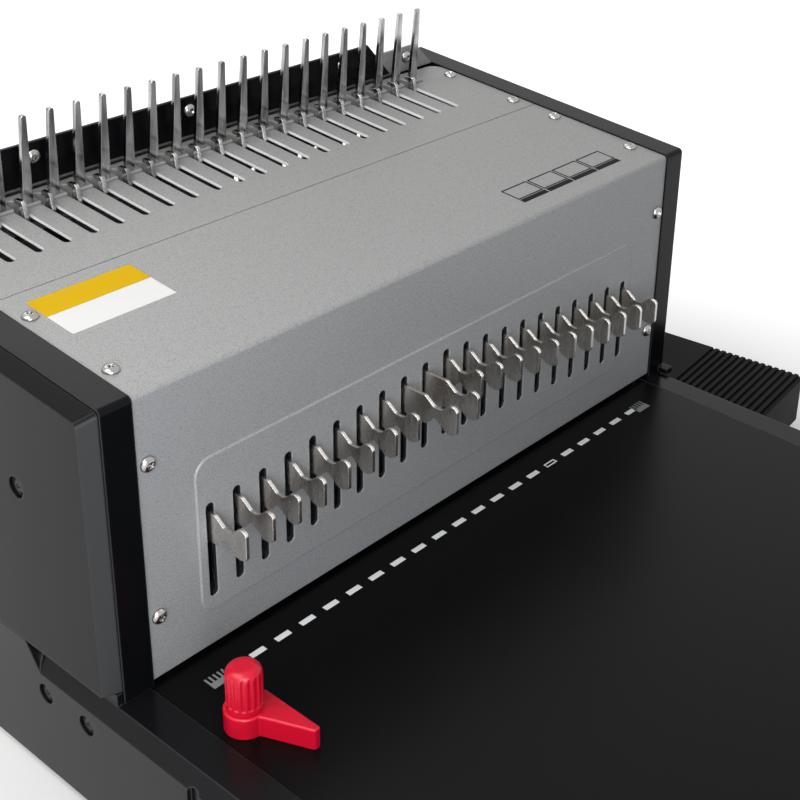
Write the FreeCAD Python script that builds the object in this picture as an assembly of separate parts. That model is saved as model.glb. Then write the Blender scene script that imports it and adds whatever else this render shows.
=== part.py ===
import FreeCAD, Part
import math
import os
from FreeCAD import Vector

# Electric punch and comb binding machine, all sizes in millimetres.
# Working axes: X runs along the row of punches, Y runs from the operator to the rear, Z is up.
# X = 0 is the middle of the punch row, Y = 0 is the outer face of the front cover, Z = 0 is the desk.
# All pieces are moved together at the end, so that the part's own origin is the middle
# of its bounding box on the desk.

# Punch row
hole_count = 21
hole_pitch = 14.2875
hole_width = 8.0
hole_depth = 3.0
row_stagger = 14.5
throat_height = 2.5

# Base
deck_height = 66.0
foot_height = 6.0
deck_reach = 250.0
rear_reach = 200.0
base_corner_radius = 12.0
bevel_width = 5.0
bevel_height = 7.0
base_wall = 3.0
deck_thickness = 3.0
deck_left_overlap = 1.6
deck_right_margin = 5.4
deck_rear = 5.6
deck_margin_front = 12.0
deck_ledge = 2.5
seam_gap = 0.4

# Head
cover_half = 176.4
cover_height = 135.0
cover_sheet = 1.5
cover_bend = 2.0
top_slope = 4.5
cover_depth = 91.0
top_seam = 0.6
comb_panel_rear = 168.0
head_rear = 193.0
left_cap_width = 14.6
right_cap_width = 13.6
cap_wall = 3.0
cap_proud = 0.9
cap_corner = 2.5
side_cover_width = 8.0
side_cover_inset = 3.0
side_cover_lift = 6.0
scoop_y = 43.0
scoop_radius = 4.0
pad_margin = 6.625
pad_low = 19.5
pad_high = 94.0
pad_rise = 0.6
pad_corner = 8.0

# Front slots and pull tabs
slot_width = 4.5
slot_length = 46.0
slot_low = 26.5
tab_thickness = 1.6
tab_root = 14.2
tab_waist = 5.6
tab_reach = 23.0
tab_centre_rise = 34.8
tab_pull = 10.0
pulled_tabs = (8, 9)
tab_clearance = 0.2

# Punch ram, guide and die
ram_front = 4.5
ram_wall = 8.0
ram_back_wall = 8.2
ram_below_tab = 12.0
ram_above_tab = 14.0
ram_margin = 9.125
blade_clearance = 0.15
blade_over_tab = 5.0
guide_depth = 16.0
guide_height = 19.5
die_height = 12.0
die_front = 6.0
stop_depth = 4.0
tip_clearance = 1.0
tip_notch = 2.2

# Drive
crank_throw = 12.5
shaft_radius = 10.0
shaft_y = 72.0
shaft_rise = 50.0
eccentric_radius = 26.0
eccentric_margin = 12.0
eccentric_width = 9.0
yoke_width = 10.0
yoke_wall = 8.0
yoke_slack = 3.0
gear_module = 2.0
gear_teeth = 40
pinion_teeth = 14
gear_width = 10.0
gear_x = 62.0
motor_rise = 24.0
motor_radius = 26.0
motor_length = 92.0
gearbox_length = 26.0
mesh_play = 0.35

# Frame plates
plate_setback = 11.4
plate_thickness = 3.0
plate_front = 2.0
plate_rear = 188.0
tongue_width = 10.0
guide_clearance = 0.3
bush_radius = 15.0
bush_flange = 3.0
bush_play = 0.05

# Comb opener
tine_bar_margin = 7.125
tine_bar_front = 153.4
tine_bar_depth = 13.0
tine_bar_height = 10.0
tine_bar_rise = 1.5
tine_height = 46.0
tine_foot_width = 4.6
tine_tip_width = 2.6
tine_thickness = 2.2
tine_y = 155.4
comb_slot_front = 115.0
comb_slot_rear = 162.0
comb_slot_offset = -6.0
hook_thickness = 2.0
hook_height = 6.5
hook_bar_thickness = 3.0
hook_bar_gap = 1.5
hook_bar_front = 138.0
hook_bar_rear = 152.4
rack_teeth_count = 10
rack_x = 110.0
rack_width = 8.0
opener_teeth = 22
opener_y = 96.0
opener_shaft_radius = 6.0
lever_swing = 78.0
lever_rest = -15.0
lever_length = 128.0
lever_thickness = 6.0
lever_width = 20.0
lever_gap = 5.0
grip_length = 62.0
grip_thickness = 13.0
grip_width = 26.0

# Rear of the head
upstand_y = 171.0
upstand_top = 163.0
upstand_foot = 148.5
upstand_slant = 14.0
backrest_thickness = 1.6
backrest_top = 171.0
backrest_low = 150.5
backrest_margin = 37.4
backrest_slant = 18.0
backrest_screw_z = 163.8
ear_top = 168.5
ear_half = 8.0
rear_cover_low = 0.3

# Chip tray
tray_margin = 15.0
tray_rear = 56.0
tray_low = 11.4
tray_high = 31.0
tray_wall = 2.0
tray_front_thickness = 4.0
tray_front_margin = 4.0
tray_gap = 0.5
runner_width = 6.0

# Paper stop
stop_margin = 10.4
stop_y = -45.0
stop_radius = 9.5
stop_height = 10.0
stop_arm = 32.0
stop_arm_angle = -68.0
stop_tip_radius = 3.6
stop_arm_half = 6.4
stop_pin_radius = 3.0
knob_radius = 7.5
knob_height = 20.0
knob_flutes = 16
knob_flute_radius = 1.1

# Foot pedal
pedal_turn = 6.5
pedal_gap = 0.3
pedal_corner = 5.0
pedal_far_y = 4.5
pedal_length = 118.0
pedal_width = 62.0
pedal_top = 52.5
pedal_smooth = 50.0
pedal_lip = 8.0
pedal_wall = 2.5
pedal_skirt_low = 24.0
pedal_play = 0.5
pedal_tub_height = 20.0
pedal_sole = 10.0
pedal_pin_radius = 2.5
pedal_pin_back = 12.0
pedal_pin_z = 27.0
tread_thickness = 4.0
rib_pitch = 4.35
rib_gap = 2.2
rib_depth = 1.5
rib_count = 14

# Controls and fasteners
inlet_x = -120.0
inlet_rise = 32.0
screw_head_radius = 3.6
screw_head_height = 2.2
screw_shank_radius = 1.8
screw_hole_clearance = 0.2
screw_length = 5.0
face_screw_margin = 5.4
top_screw_margin = 6.4
upstand_screw_margin = 22.4
upstand_screw_rise = 157.0
recess_radius = 4.75
recess_depth = 2.2
side_slot_width = 8.0
side_slot_drop = 5.5
side_slot_length = 20.0
foot_radius = 11.0
foot_inset = 26.0

# Values worked out from the sizes above
slope = math.tan(math.radians(top_slope))
slope_cos = math.cos(math.radians(top_slope))
slope_sin = math.sin(math.radians(top_slope))
stroke = 2.0 * crank_throw
middle_hole = (hole_count - 1) / 2.0
row_half = middle_hole * hole_pitch
plate_inner = cover_half - plate_setback
base_front = -deck_reach
base_rear = rear_reach
floor_top = foot_height + base_wall
left_cap_outer = -cover_half - left_cap_width
right_cap_outer = cover_half + right_cap_width
base_left = left_cap_outer - side_cover_width
base_right = right_cap_outer
skirt_rear = base_rear - base_corner_radius - 1.0
scoop_height = bevel_height + side_cover_lift
deck_left = -cover_half - deck_left_overlap
deck_right = cover_half - deck_right_margin
pad_half = row_half + pad_margin
ram_half = row_half + ram_margin
eccentric_x = ram_half - eccentric_margin
tine_bar_half = row_half + tine_bar_margin
backrest_half = cover_half - backrest_margin
tray_half = plate_inner - tray_margin
stop_x = -cover_half + stop_margin
shaft_z = deck_height + shaft_rise
motor_z = deck_height + motor_rise
groove_front = ram_front + ram_wall
blade_front = groove_front + blade_clearance
blade_rear = blade_front + hole_depth
groove_rear = blade_rear + blade_clearance
ram_rear = groove_rear + ram_back_wall
tab_inner = groove_rear + 1.6
throat_top = deck_height + throat_height
guide_front = die_front
guide_top = throat_top + guide_height
guide_rear = guide_front + guide_depth
opener_radius = gear_module * opener_teeth / 2.0
hook_travel = opener_radius * math.radians(lever_swing)
rack_depth = 9.0
rack_pitch_drop = cover_sheet + hook_bar_gap + hook_bar_thickness + rack_depth - gear_module
gear_radius = gear_module * gear_teeth / 2.0
pinion_radius = gear_module * pinion_teeth / 2.0
motor_y = shaft_y + math.sqrt((gear_radius + pinion_radius) ** 2 - (shaft_z - motor_z) ** 2)


def roof(y):
    """Height of the sloping top surface at depth y."""
    return deck_height + cover_height + slope * y


opener_z = roof(opener_y) - (rack_pitch_drop + opener_radius) / slope_cos


def hole_x(i):
    return (i - middle_hole) * hole_pitch


def rise(i):
    """How much higher punch i stands than the outermost ones."""
    return row_stagger * (1.0 - abs(i - middle_hole) / middle_hole)


def tab_z(i):
    return deck_height + slot_low + rise(i) + tab_centre_rise


# Small modelling helpers
def block(x0, x1, y0, y1, z0, z1):
    return Part.makeBox(x1 - x0, y1 - y0, z1 - z0, Vector(x0, y0, z0))


def rod(start, direction, radius, length):
    return Part.makeCylinder(radius, length, Vector(*start), Vector(*direction))


def place(axis, at, u, v):
    """Point with sketch coordinates u, v in the plane that crosses the axis at the given place."""
    if axis == "x":
        return Vector(at, u, v)
    if axis == "y":
        return Vector(u, at, v)
    return Vector(u, v, at)


def outline(points, axis, at):
    """Closed wire through points (u, v, radius), each corner rounded by its radius."""
    ends = []
    count = len(points)
    for k in range(count):
        u, v, radius = points[k]
        before = points[k - 1]
        after = points[(k + 1) % count]
        corner = Vector(u, v, 0)
        if radius <= 0:
            ends.append((corner, None, corner))
            continue
        back = (Vector(before[0], before[1], 0) - corner).normalize()
        ahead = (Vector(after[0], after[1], 0) - corner).normalize()
        half = back.getAngle(ahead) / 2.0
        reach = radius / math.tan(half)
        inward = (back + ahead).normalize()
        centre = corner + inward * (radius / math.sin(half))
        ends.append((corner + back * reach, centre - inward * radius, corner + ahead * reach))
    edges = []
    for k in range(count):
        start, middle, finish = ends[k]
        if middle is not None:
            arc_points = [place(axis, at, p.x, p.y) for p in (start, middle, finish)]
            edges.append(Part.Arc(*arc_points).toShape())
        following = ends[(k + 1) % count][0]
        if (following - finish).Length > 1e-6:
            line_points = [place(axis, at, p.x, p.y) for p in (finish, following)]
            edges.append(Part.LineSegment(*line_points).toShape())
    return Part.Wire(edges)


def prism(points, axis, start, finish):
    """Solid between two places on an axis with the same rounded outline."""
    direction = {"x": Vector(1, 0, 0), "y": Vector(0, 1, 0), "z": Vector(0, 0, 1)}[axis]
    face = Part.Face(outline(points, axis, start))
    return face.extrude(direction * (finish - start))


def square(u0, u1, v0, v1, radius=0.0):
    return [(u0, v0, radius), (u1, v0, radius), (u1, v1, radius), (u0, v1, radius)]


def slot(axis, u, v0, v1, width, start, finish):
    """Round-ended slot of the given width, running along v between v0 and v1."""
    half = width / 2.0
    direction = {"x": Vector(1, 0, 0), "y": Vector(0, 1, 0), "z": Vector(0, 0, 1)}[axis]
    low = v0 + half
    high = v1 - half
    edges = [
        Part.LineSegment(place(axis, start, u - half, high), place(axis, start, u - half, low)).toShape(),
        Part.Arc(place(axis, start, u - half, low), place(axis, start, u, v0),
                 place(axis, start, u + half, low)).toShape(),
        Part.LineSegment(place(axis, start, u + half, low), place(axis, start, u + half, high)).toShape(),
        Part.Arc(place(axis, start, u + half, high), place(axis, start, u, v1),
                 place(axis, start, u - half, high)).toShape(),
    ]
    return Part.Face(Part.Wire(edges)).extrude(direction * (finish - start))


def joined(shapes):
    result = shapes[0]
    if len(shapes) > 1:
        result = result.multiFuse(shapes[1:])
    return result.removeSplitter()


def spur_gear(teeth, radius, phase, x0, width, centre_y, centre_z):
    """Involute spur gear on an X axle; one tooth is centred on the phase angle, from +Y towards +Z."""
    pressure = math.radians(20.0)
    base = radius * math.cos(pressure)
    tip = radius + 0.9 * gear_module
    root = radius - 1.2 * gear_module
    half_tooth = math.pi / (2.0 * teeth) - mesh_play / (2.0 * radius)
    flank = []
    for share in (0.0, 0.35, 0.7, 1.0):
        at = max(base, root) + (tip - max(base, root)) * share
        angle = math.acos(min(1.0, base / at))
        spread = (math.tan(pressure) - pressure) - (math.tan(angle) - angle)
        flank.append((at, half_tooth + spread))
    points = []
    for k in range(teeth):
        middle = phase + 2.0 * math.pi * k / teeth
        side = [(root, flank[0][1])] if root < base else []
        rising = [(r, middle - a) for r, a in side + flank]
        falling = [(r, middle + a) for r, a in reversed(side + flank)]
        for r, a in rising + falling:
            points.append((centre_y + r * math.cos(a), centre_z + r * math.sin(a), 0))
    return prism(points, "x", x0, x0 + width)


def tilted(shape, y, z):
    """Turn a shape that was drawn level so that it follows the sloping top, about a line along X."""
    turned = shape.copy()
    turned.rotate(Vector(0, y, z), Vector(1, 0, 0), top_slope)
    return turned


nodes = {}


def write(name, shapes):
    """Keep the finished piece under its node name."""
    if not isinstance(shapes, list):
        shapes = [shapes]
    solids = []
    for shape in shapes:
        solids.extend(shape.Solids)
    nodes[name] = solids[0].copy() if len(solids) == 1 else Part.makeCompound(solids)


# Screw places, used by the covers, the frame plates and the screws themselves
face_screw_x = cover_half - face_screw_margin
top_screw_x = cover_half - top_screw_margin
upstand_screw_x = cover_half - upstand_screw_margin
upstand_screw_z = deck_height + upstand_screw_rise
front_screws = [(x, deck_height + z) for x in (-face_screw_x, face_screw_x) for z in (32.0, 104.0)]
cover_top_screws = [(x, y) for x in (-top_screw_x, top_screw_x) for y in (20.0, 72.0)]
comb_panel_screws = [(x, y) for x in (-top_screw_x, top_screw_x) for y in (102.0, 150.0)]
backrest_screws = [-100.0, -8.0, 100.0]
upstand_screws = [-upstand_screw_x, upstand_screw_x]
hole_radius = screw_shank_radius + screw_hole_clearance
side_screw_places = [(44.0, deck_height - 16.2), (16.0, deck_height - 16.2)]
side_slot_y = -52.0
cover_screw_places = [(48.0, deck_height + 85.0), (150.0, deck_height + 85.0)]


def top_hole(x, y, radius, depth=12.0):
    """Round tool square to the sloping top."""
    direction = Vector(0, slope_sin, -slope_cos)
    start = Vector(x, y, roof(y)) - direction * 3.0
    return Part.makeCylinder(radius, depth, start, direction)


# Base pan: a closed moulded tub with bevelled upper edges, floor, runners and a seat for the deck plate.
# On the left a rim stands along the head, and the bevel ends in a round scoop at each end of the shoulder.
def base_outline(inset, z):
    return outline(square(base_left + inset, base_right - inset, base_front + inset, base_rear - inset,
                          base_corner_radius), "z", z)


lower_base = Part.Face(base_outline(0, foot_height)).extrude(
    Vector(0, 0, deck_height - bevel_height - foot_height))
upper_base = Part.makeLoft([base_outline(0, deck_height - bevel_height),
                            base_outline(bevel_width, deck_height)], True, True)
base_outer = joined([lower_base, upper_base])
hollow = block(base_left + base_wall, base_right - base_wall, base_front + base_wall,
               base_rear - base_wall, floor_top, deck_height - bevel_height - base_wall)
deck_front = base_front + deck_margin_front
opening_rear = base_rear - base_wall - bevel_width - 1.0
base_pan = base_outer.cut(hollow)
base_pan = base_pan.cut(block(deck_left + deck_ledge, deck_right - deck_ledge, deck_front + deck_ledge,
                              opening_rear, floor_top, deck_height + 1))
base_pan = base_pan.cut(block(deck_left, deck_right, deck_front, opening_rear,
                              deck_height - deck_thickness, deck_height + 1))
tray_door = block(-tray_half - tray_gap, tray_half + tray_gap, base_front - 1, base_front + base_wall + 1,
                  tray_low - tray_gap, tray_high + tray_front_margin)
base_pan = base_pan.cut(tray_door)
runners = [block(x, x + runner_width, base_front + base_wall, tray_rear, floor_top, tray_low - 0.3)
           for x in (-tray_half + 4.0, tray_half - 4.0 - runner_width)]
shoulder_top = deck_height + side_cover_lift - seam_gap
shoulder = block(base_left, left_cap_outer - seam_gap, scoop_y, skirt_rear, deck_height - bevel_height,
                 shoulder_top)
for y in (scoop_y, skirt_rear):
    shoulder = shoulder.cut(Part.makeCone(
        scoop_radius, scoop_radius + scoop_height * bevel_width / bevel_height, scoop_height,
        Vector(base_left, y, deck_height - bevel_height)))
side_rim = block(base_left + bevel_width, left_cap_outer - seam_gap, 0, skirt_rear, deck_height - 1,
                 shoulder_top)
base_pan = joined([base_pan, shoulder, side_rim] + runners)
for y, z in side_screw_places:
    base_pan = base_pan.cut(rod((base_left - 1, y, z), (1, 0, 0), recess_radius, recess_depth + 1))
slot_top = deck_height - side_slot_drop
side_slot = slot("x", side_slot_y, slot_top - side_slot_length, slot_top, side_slot_width, base_left - 1,
                 base_left + recess_depth)
base_pan = base_pan.cut(side_slot)
write("base_pan", base_pan)

# Deck plate: the flat work surface that the paper slides on
deck_plate = prism(square(deck_left + seam_gap, deck_right - seam_gap, deck_front + seam_gap, deck_rear),
                   "z", deck_height - deck_thickness, deck_height)
stop_hole = rod((stop_x, stop_y, deck_height - deck_thickness - 1), (0, 0, 1),
                stop_pin_radius + bush_play, deck_thickness + 2)
deck_plate = deck_plate.cut(stop_hole)
write("deck_plate", deck_plate)

# Feet: four turned rubber pads
feet = []
for x in (base_left + foot_inset, base_right - foot_inset):
    for y in (base_front + foot_inset, base_rear - foot_inset):
        pad = rod((x, y, 0), (0, 0, 1), foot_radius, foot_height)
        rim = [e for e in pad.Edges if e.BoundBox.ZMax < 0.01 and e.Closed]
        feet.append(pad.makeChamfer(1.0, rim))
write("feet", feet)

# Frame plates: two steel side plates that carry the punch, the drive and the covers
def frame_plate(side):
    inner = side * plate_inner
    outer = side * (plate_inner + plate_thickness)
    low, high = min(inner, outer), max(inner, outer)
    top_gap = cover_sheet / slope_cos
    points = [(deck_rear + seam_gap, floor_top, 0), (plate_rear, floor_top, 0),
              (plate_rear, roof(plate_rear) - 6.0, 6.0), (upstand_y - 2.0, roof(upstand_y - 2.0) - 6.0, 0),
              (comb_panel_rear - 1.0, roof(comb_panel_rear - 1.0) - top_gap, 0),
              (plate_front, roof(plate_front) - top_gap, 0), (plate_front, deck_height + seam_gap, 0),
              (deck_rear + seam_gap, deck_height + seam_gap, 0)]
    web = prism(points, "x", low, high)
    flange_outer = side * (cover_half - 0.4)
    flange = block(min(low, flange_outer), max(high, flange_outer), cover_sheet, cover_sheet + 3.0,
                   deck_height + 6.0, deck_height + cover_height - 8.0)
    rail_points = [(cover_sheet + 1.0, roof(cover_sheet + 1.0) - top_gap, 0),
                   (cover_sheet + 1.0, roof(cover_sheet + 1.0) - top_gap - 4.0, 0),
                   (comb_panel_rear - 1.0, roof(comb_panel_rear - 1.0) - top_gap - 4.0, 0),
                   (comb_panel_rear - 1.0, roof(comb_panel_rear - 1.0) - top_gap, 0)]
    rail = prism(rail_points, "x", min(low, flange_outer), max(high, flange_outer))
    plate = joined([web, flange, rail])
    tongue_low = tab_z(0) - ram_below_tab - stroke - 1.5
    tongue_high = tab_z(0) + ram_above_tab + 1.0
    tongue_middle = (ram_front + ram_rear) / 2.0
    half = tongue_width / 2.0 + guide_clearance
    plate = plate.cut(block(low - 1, high + 1, tongue_middle - half, tongue_middle + half,
                            tongue_low, tongue_high))
    plate = plate.cut(rod((low - 1, shaft_y, shaft_z), (1, 0, 0), bush_radius, high - low + 2))
    plate = plate.cut(rod((low - 1, opener_y, opener_z), (1, 0, 0), opener_shaft_radius + bush_play,
                          high - low + 2))
    for x, z in front_screws:
        if x * side > 0:
            plate = plate.cut(rod((x, 0, z), (0, 1, 0), hole_radius, 12))
    for x, y in cover_top_screws + comb_panel_screws:
        if x * side > 0:
            plate = plate.cut(top_hole(x, y, hole_radius))
    return plate


write("left_frame_plate", frame_plate(-1))
write("right_frame_plate", frame_plate(1))


# End caps: hollow moulded cheeks that trim the two ends of the head
def cheek_outline(inset, low_gap, at):
    """Side outline of the head, drawn inwards by the inset."""
    back = head_rear - inset
    points = [(inset, deck_height + low_gap, 0), (back, deck_height + low_gap, 0),
              (back, roof(back) - inset, cap_corner), (inset, roof(inset) - inset, cap_corner)]
    return outline(points, "x", at)


def end_cap(side, outer):
    inner = side * cover_half
    face = Part.Face(cheek_outline(-cap_proud, 0, inner))
    cap = face.extrude(Vector(outer - inner, 0, 0))
    pocket_depth = abs(outer - inner) - cap_wall
    pocket_face = Part.Face(cheek_outline(cap_wall, cap_wall, inner))
    cap = cap.cut(pocket_face.extrude(Vector(side * pocket_depth, 0, 0)))
    return cap


write("left_end_cap", end_cap(-1, left_cap_outer))

lever_hole = rod((cover_half - 1, opener_y, opener_z), (1, 0, 0), opener_shaft_radius + 1.0, 30)
right_cap = end_cap(1, right_cap_outer)
toe = block(right_cap_outer - 4.0, right_cap_outer + 1.5, -cap_proud - 6.0, -cap_proud + 1.0,
            deck_height, deck_height + 3.0)
right_skirt = prism([(base_right, deck_height - bevel_height, 0), (base_right, deck_height + 3.0, 0),
                     (base_right - bevel_width, deck_height + 3.0, 0),
                     (base_right - bevel_width, deck_height, 0)], "y", 0, skirt_rear)
right_cap = joined([right_cap, toe, right_skirt]).cut(lever_hole)
write("right_end_cap", right_cap)

# Left side cover: a bevelled plate over the cap, just above the rim and the shoulder of the base
cover_inner = left_cap_outer
cover_outer = base_left
wide = cheek_outline(0, side_cover_lift, cover_inner)
narrow = cheek_outline(side_cover_inset, side_cover_lift, cover_outer)
side_cover = Part.makeLoft([wide, narrow], True, True)
cover_pocket = Part.Face(cheek_outline(2 * side_cover_inset, side_cover_lift + cap_wall, cover_inner))
side_cover = side_cover.cut(cover_pocket.extrude(Vector(cap_wall - side_cover_width, 0, 0)))
for y, z in cover_screw_places:
    side_cover = side_cover.cut(rod((cover_outer - 1, y, z), (1, 0, 0), recess_radius, recess_depth + 1))
write("left_side_cover", side_cover)

# Front cover: one bent sheet, punched with staggered slots and pressed out around them
sheet_drop = cover_sheet / slope_cos
seam_y = cover_depth * slope_cos
cover_points = [(0, throat_top, 0), (0, roof(0), cover_bend),
                (seam_y, roof(seam_y), 0),
                (seam_y + cover_sheet * slope_sin, roof(seam_y) - cover_sheet * slope_cos, 0),
                (cover_sheet, roof(cover_sheet) - sheet_drop, cover_bend - cover_sheet),
                (cover_sheet, throat_top, 0)]
front_cover = prism(cover_points, "x", -cover_half + 0.2, cover_half - 0.2)
pad_wide = outline(square(-pad_half, pad_half, deck_height + pad_low, deck_height + pad_high, pad_corner),
                   "y", 0)
pad_narrow = outline(square(-pad_half + pad_rise, pad_half - pad_rise, deck_height + pad_low + pad_rise,
                            deck_height + pad_high - pad_rise, pad_corner - pad_rise), "y", -pad_rise)
front_cover = joined([front_cover, Part.makeLoft([pad_wide, pad_narrow], True, True)])
slot_tools = []
for i in range(hole_count):
    low = deck_height + slot_low + rise(i)
    slot_tools.append(slot("y", hole_x(i), low, low + slot_length, slot_width, -pad_rise - 1,
                           cover_sheet + 1))
front_cover = front_cover.cut(Part.makeCompound(slot_tools))
for x, z in front_screws:
    front_cover = front_cover.cut(rod((x, -1, z), (0, 1, 0), hole_radius, cover_sheet + 2))
for x, y in cover_top_screws:
    front_cover = front_cover.cut(top_hole(x, y, hole_radius))
write("front_cover", front_cover)

# Comb panel: the rear part of the top, open in slots for the comb hooks and cut back for the tine bar
panel_start = seam_y + top_seam
panel_points = [(panel_start, roof(panel_start), 0), (comb_panel_rear, roof(comb_panel_rear), 0),
                (comb_panel_rear, roof(comb_panel_rear) - sheet_drop, 0),
                (panel_start, roof(panel_start) - sheet_drop, 0)]
comb_panel = prism(panel_points, "x", -cover_half + 0.2, cover_half - 0.2)
for side in (-1, 1):
    corner = side * (cover_half - 0.2)
    reach = 8.0
    square_corner = block(min(corner, corner - side * reach), max(corner, corner - side * reach),
                          comb_panel_rear - reach, comb_panel_rear + 1, deck_height + cover_height,
                          deck_height + cover_height + 30)
    round_corner = rod((corner - side * reach, comb_panel_rear - reach, deck_height + cover_height),
                       (0, 0, 1), reach, 30)
    comb_panel = comb_panel.cut(square_corner.cut(round_corner))
window = block(-tine_bar_half - 0.4, tine_bar_half + 0.4, tine_bar_front - 0.4, comb_panel_rear + 1,
               deck_height + cover_height, deck_height + cover_height + 30)
comb_panel = comb_panel.cut(window)
comb_slots = []
for i in range(hole_count):
    comb_slots.append(slot("z", hole_x(i) + comb_slot_offset, comb_slot_front, comb_slot_rear, slot_width,
                           deck_height + cover_height, deck_height + cover_height + 30))
comb_panel = comb_panel.cut(Part.makeCompound(comb_slots))
for x, y in comb_panel_screws:
    comb_panel = comb_panel.cut(top_hole(x, y, hole_radius))
write("comb_panel", comb_panel)

# Tine bar: the steel rail behind the comb panel, notched beside each tine for its hook
bar_rear = tine_bar_front + tine_bar_depth
bar_points = [(tine_bar_front, roof(tine_bar_front) + tine_bar_rise - tine_bar_height, 0),
              (bar_rear, roof(bar_rear) + tine_bar_rise - tine_bar_height, 0),
              (bar_rear, roof(bar_rear) + tine_bar_rise, 0.8),
              (tine_bar_front, roof(tine_bar_front) + tine_bar_rise, 0.8)]
tine_bar = prism(bar_points, "x", -tine_bar_half, tine_bar_half)
notches = []
for i in range(hole_count):
    x = hole_x(i) + comb_slot_offset
    notches.append(slot("z", x, tine_bar_front - slot_width, comb_slot_rear, slot_width,
                        deck_height + cover_height - 20, deck_height + cover_height + 30))
tine_bar = tine_bar.cut(Part.makeCompound(notches))
hanger_points = [(tine_bar_front + 1.0, roof(tine_bar_front) - 3.0, 0), (bar_rear, roof(bar_rear) - 3.0, 0),
                 (bar_rear, roof(bar_rear) + tine_bar_rise - tine_bar_height, 0),
                 (tine_bar_front + 1.0, roof(tine_bar_front) + tine_bar_rise - tine_bar_height, 0)]
hangers = [prism(hanger_points, "x", min(s * tine_bar_half, s * plate_inner),
                 max(s * tine_bar_half, s * plate_inner)) for s in (-1, 1)]
tine_bar = joined([tine_bar] + hangers)
write("tine_bar", tine_bar)

# Binding tines: upright tapered fingers that hold the spine of a plastic comb
tines = []
for i in range(hole_count):
    foot_z = roof(tine_y + tine_thickness / 2.0) + tine_bar_rise
    tine_front = tine_y - tine_thickness / 2.0
    half_foot = tine_foot_width / 2.0
    half_tip = tine_tip_width / 2.0
    points = [(hole_x(i) - half_foot, foot_z, 0), (hole_x(i) + half_foot, foot_z, 0),
              (hole_x(i) + half_tip, foot_z + tine_height, half_tip * 0.9),
              (hole_x(i) - half_tip, foot_z + tine_height, half_tip * 0.9)]
    tines.append(prism(points, "y", tine_front, tine_front + tine_thickness))
write("binding_tines", tines)

# Hook bar: a plate under the comb panel with one upright hook for each slot and two racks below
bar_drop = cover_sheet + hook_bar_gap
pivot_y = opener_y
pivot_z = roof(opener_y)


def level(y0, y1, d0, d1, x0, x1):
    """Block drawn square to the sloping top, d below the surface, y measured from the opener shaft."""
    flat = block(x0, x1, pivot_y + y0, pivot_y + y1, pivot_z - d1, pivot_z - d0)
    return tilted(flat, pivot_y, pivot_z)


plate_y0 = hook_bar_front - opener_y
plate_y1 = hook_bar_rear - opener_y
hook_pieces = [level(plate_y0, plate_y1, bar_drop, bar_drop + hook_bar_thickness, -tine_bar_half,
                     tine_bar_half - 4.0)]
for i in range(hole_count):
    x = hole_x(i) + comb_slot_offset
    hook_points = [(plate_y1 - 6.0, -bar_drop - 0.5, 0), (plate_y1 - 0.5, -bar_drop - 0.5, 0),
                   (plate_y1 - 0.5, hook_height - 2.6, 0), (plate_y1 + 3.0, hook_height - 2.6, 0.6),
                   (plate_y1 + 3.0, hook_height - 0.6, 0.6), (plate_y1 - 3.4, hook_height, 1.8)]
    moved = [(pivot_y + u, pivot_z + v, r) for u, v, r in hook_points]
    hook_pieces.append(tilted(prism(moved, "x", x - hook_thickness / 2.0, x + hook_thickness / 2.0),
                              pivot_y, pivot_z))
rack_pitch = math.pi * gear_module
rack_start = -1.5 * rack_pitch
for x in (-rack_x, rack_x):
    low_x = x - rack_width / 2.0
    high_x = x + rack_width / 2.0
    lean = math.tan(math.radians(20.0))
    rack_points = [(rack_start, -bar_drop, 0), (rack_start, -rack_pitch_drop + 1.2 * gear_module, 0)]
    for k in range(rack_teeth_count):
        middle = rack_start + (k + 0.75) * rack_pitch
        half_tooth = rack_pitch / 4.0 - mesh_play / 2.0
        root_half = half_tooth + 1.2 * gear_module * lean
        tip_half = half_tooth - 0.9 * gear_module * lean
        rack_points += [(middle - root_half, -rack_pitch_drop + 1.2 * gear_module, 0),
                        (middle - tip_half, -rack_pitch_drop - 0.9 * gear_module, 0),
                        (middle + tip_half, -rack_pitch_drop - 0.9 * gear_module, 0),
                        (middle + root_half, -rack_pitch_drop + 1.2 * gear_module, 0)]
    rack_end = rack_start + (rack_teeth_count + 0.5) * rack_pitch
    rack_points += [(rack_end, -rack_pitch_drop + 1.2 * gear_module, 0), (rack_end, -bar_drop, 0)]
    moved = [(pivot_y + u, pivot_z + v, r) for u, v, r in rack_points]
    hook_pieces.append(tilted(prism(moved, "x", low_x, high_x), pivot_y, pivot_z))
write("hook_bar", joined(hook_pieces))

# Opener shaft: the cross shaft with two pinions that drive the racks
up_angle = math.radians(90.0 + top_slope)
tooth_phase = up_angle + math.pi / opener_teeth
rack_offset = rack_start + 0.75 * rack_pitch + (rack_pitch_drop + opener_radius) * slope
tooth_phase -= (rack_offset / opener_radius) - round(rack_offset / rack_pitch) * (rack_pitch / opener_radius)
lever_x0 = right_cap_outer + lever_gap
lever_x1 = lever_x0 + lever_thickness
shaft_end = lever_x1 + 4.0
opener_pieces = [rod((-plate_inner - plate_thickness, opener_y, opener_z), (1, 0, 0), opener_shaft_radius,
                     shaft_end + plate_inner + plate_thickness)]
for x in (-rack_x, rack_x):
    opener_pieces.append(spur_gear(opener_teeth, opener_radius, tooth_phase, x - rack_width / 2.0 - 0.5,
                                   rack_width + 1.0, opener_y, opener_z))
write("opener_shaft", joined(opener_pieces))

# Comb lever and its grip, drawn level to the rear and then turned to the rest angle
hub_radius = lever_width * 0.72


def at_rest(shape):
    turned = shape.copy()
    turned.rotate(Vector(0, opener_y, opener_z), Vector(1, 0, 0), lever_rest)
    return turned


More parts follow.
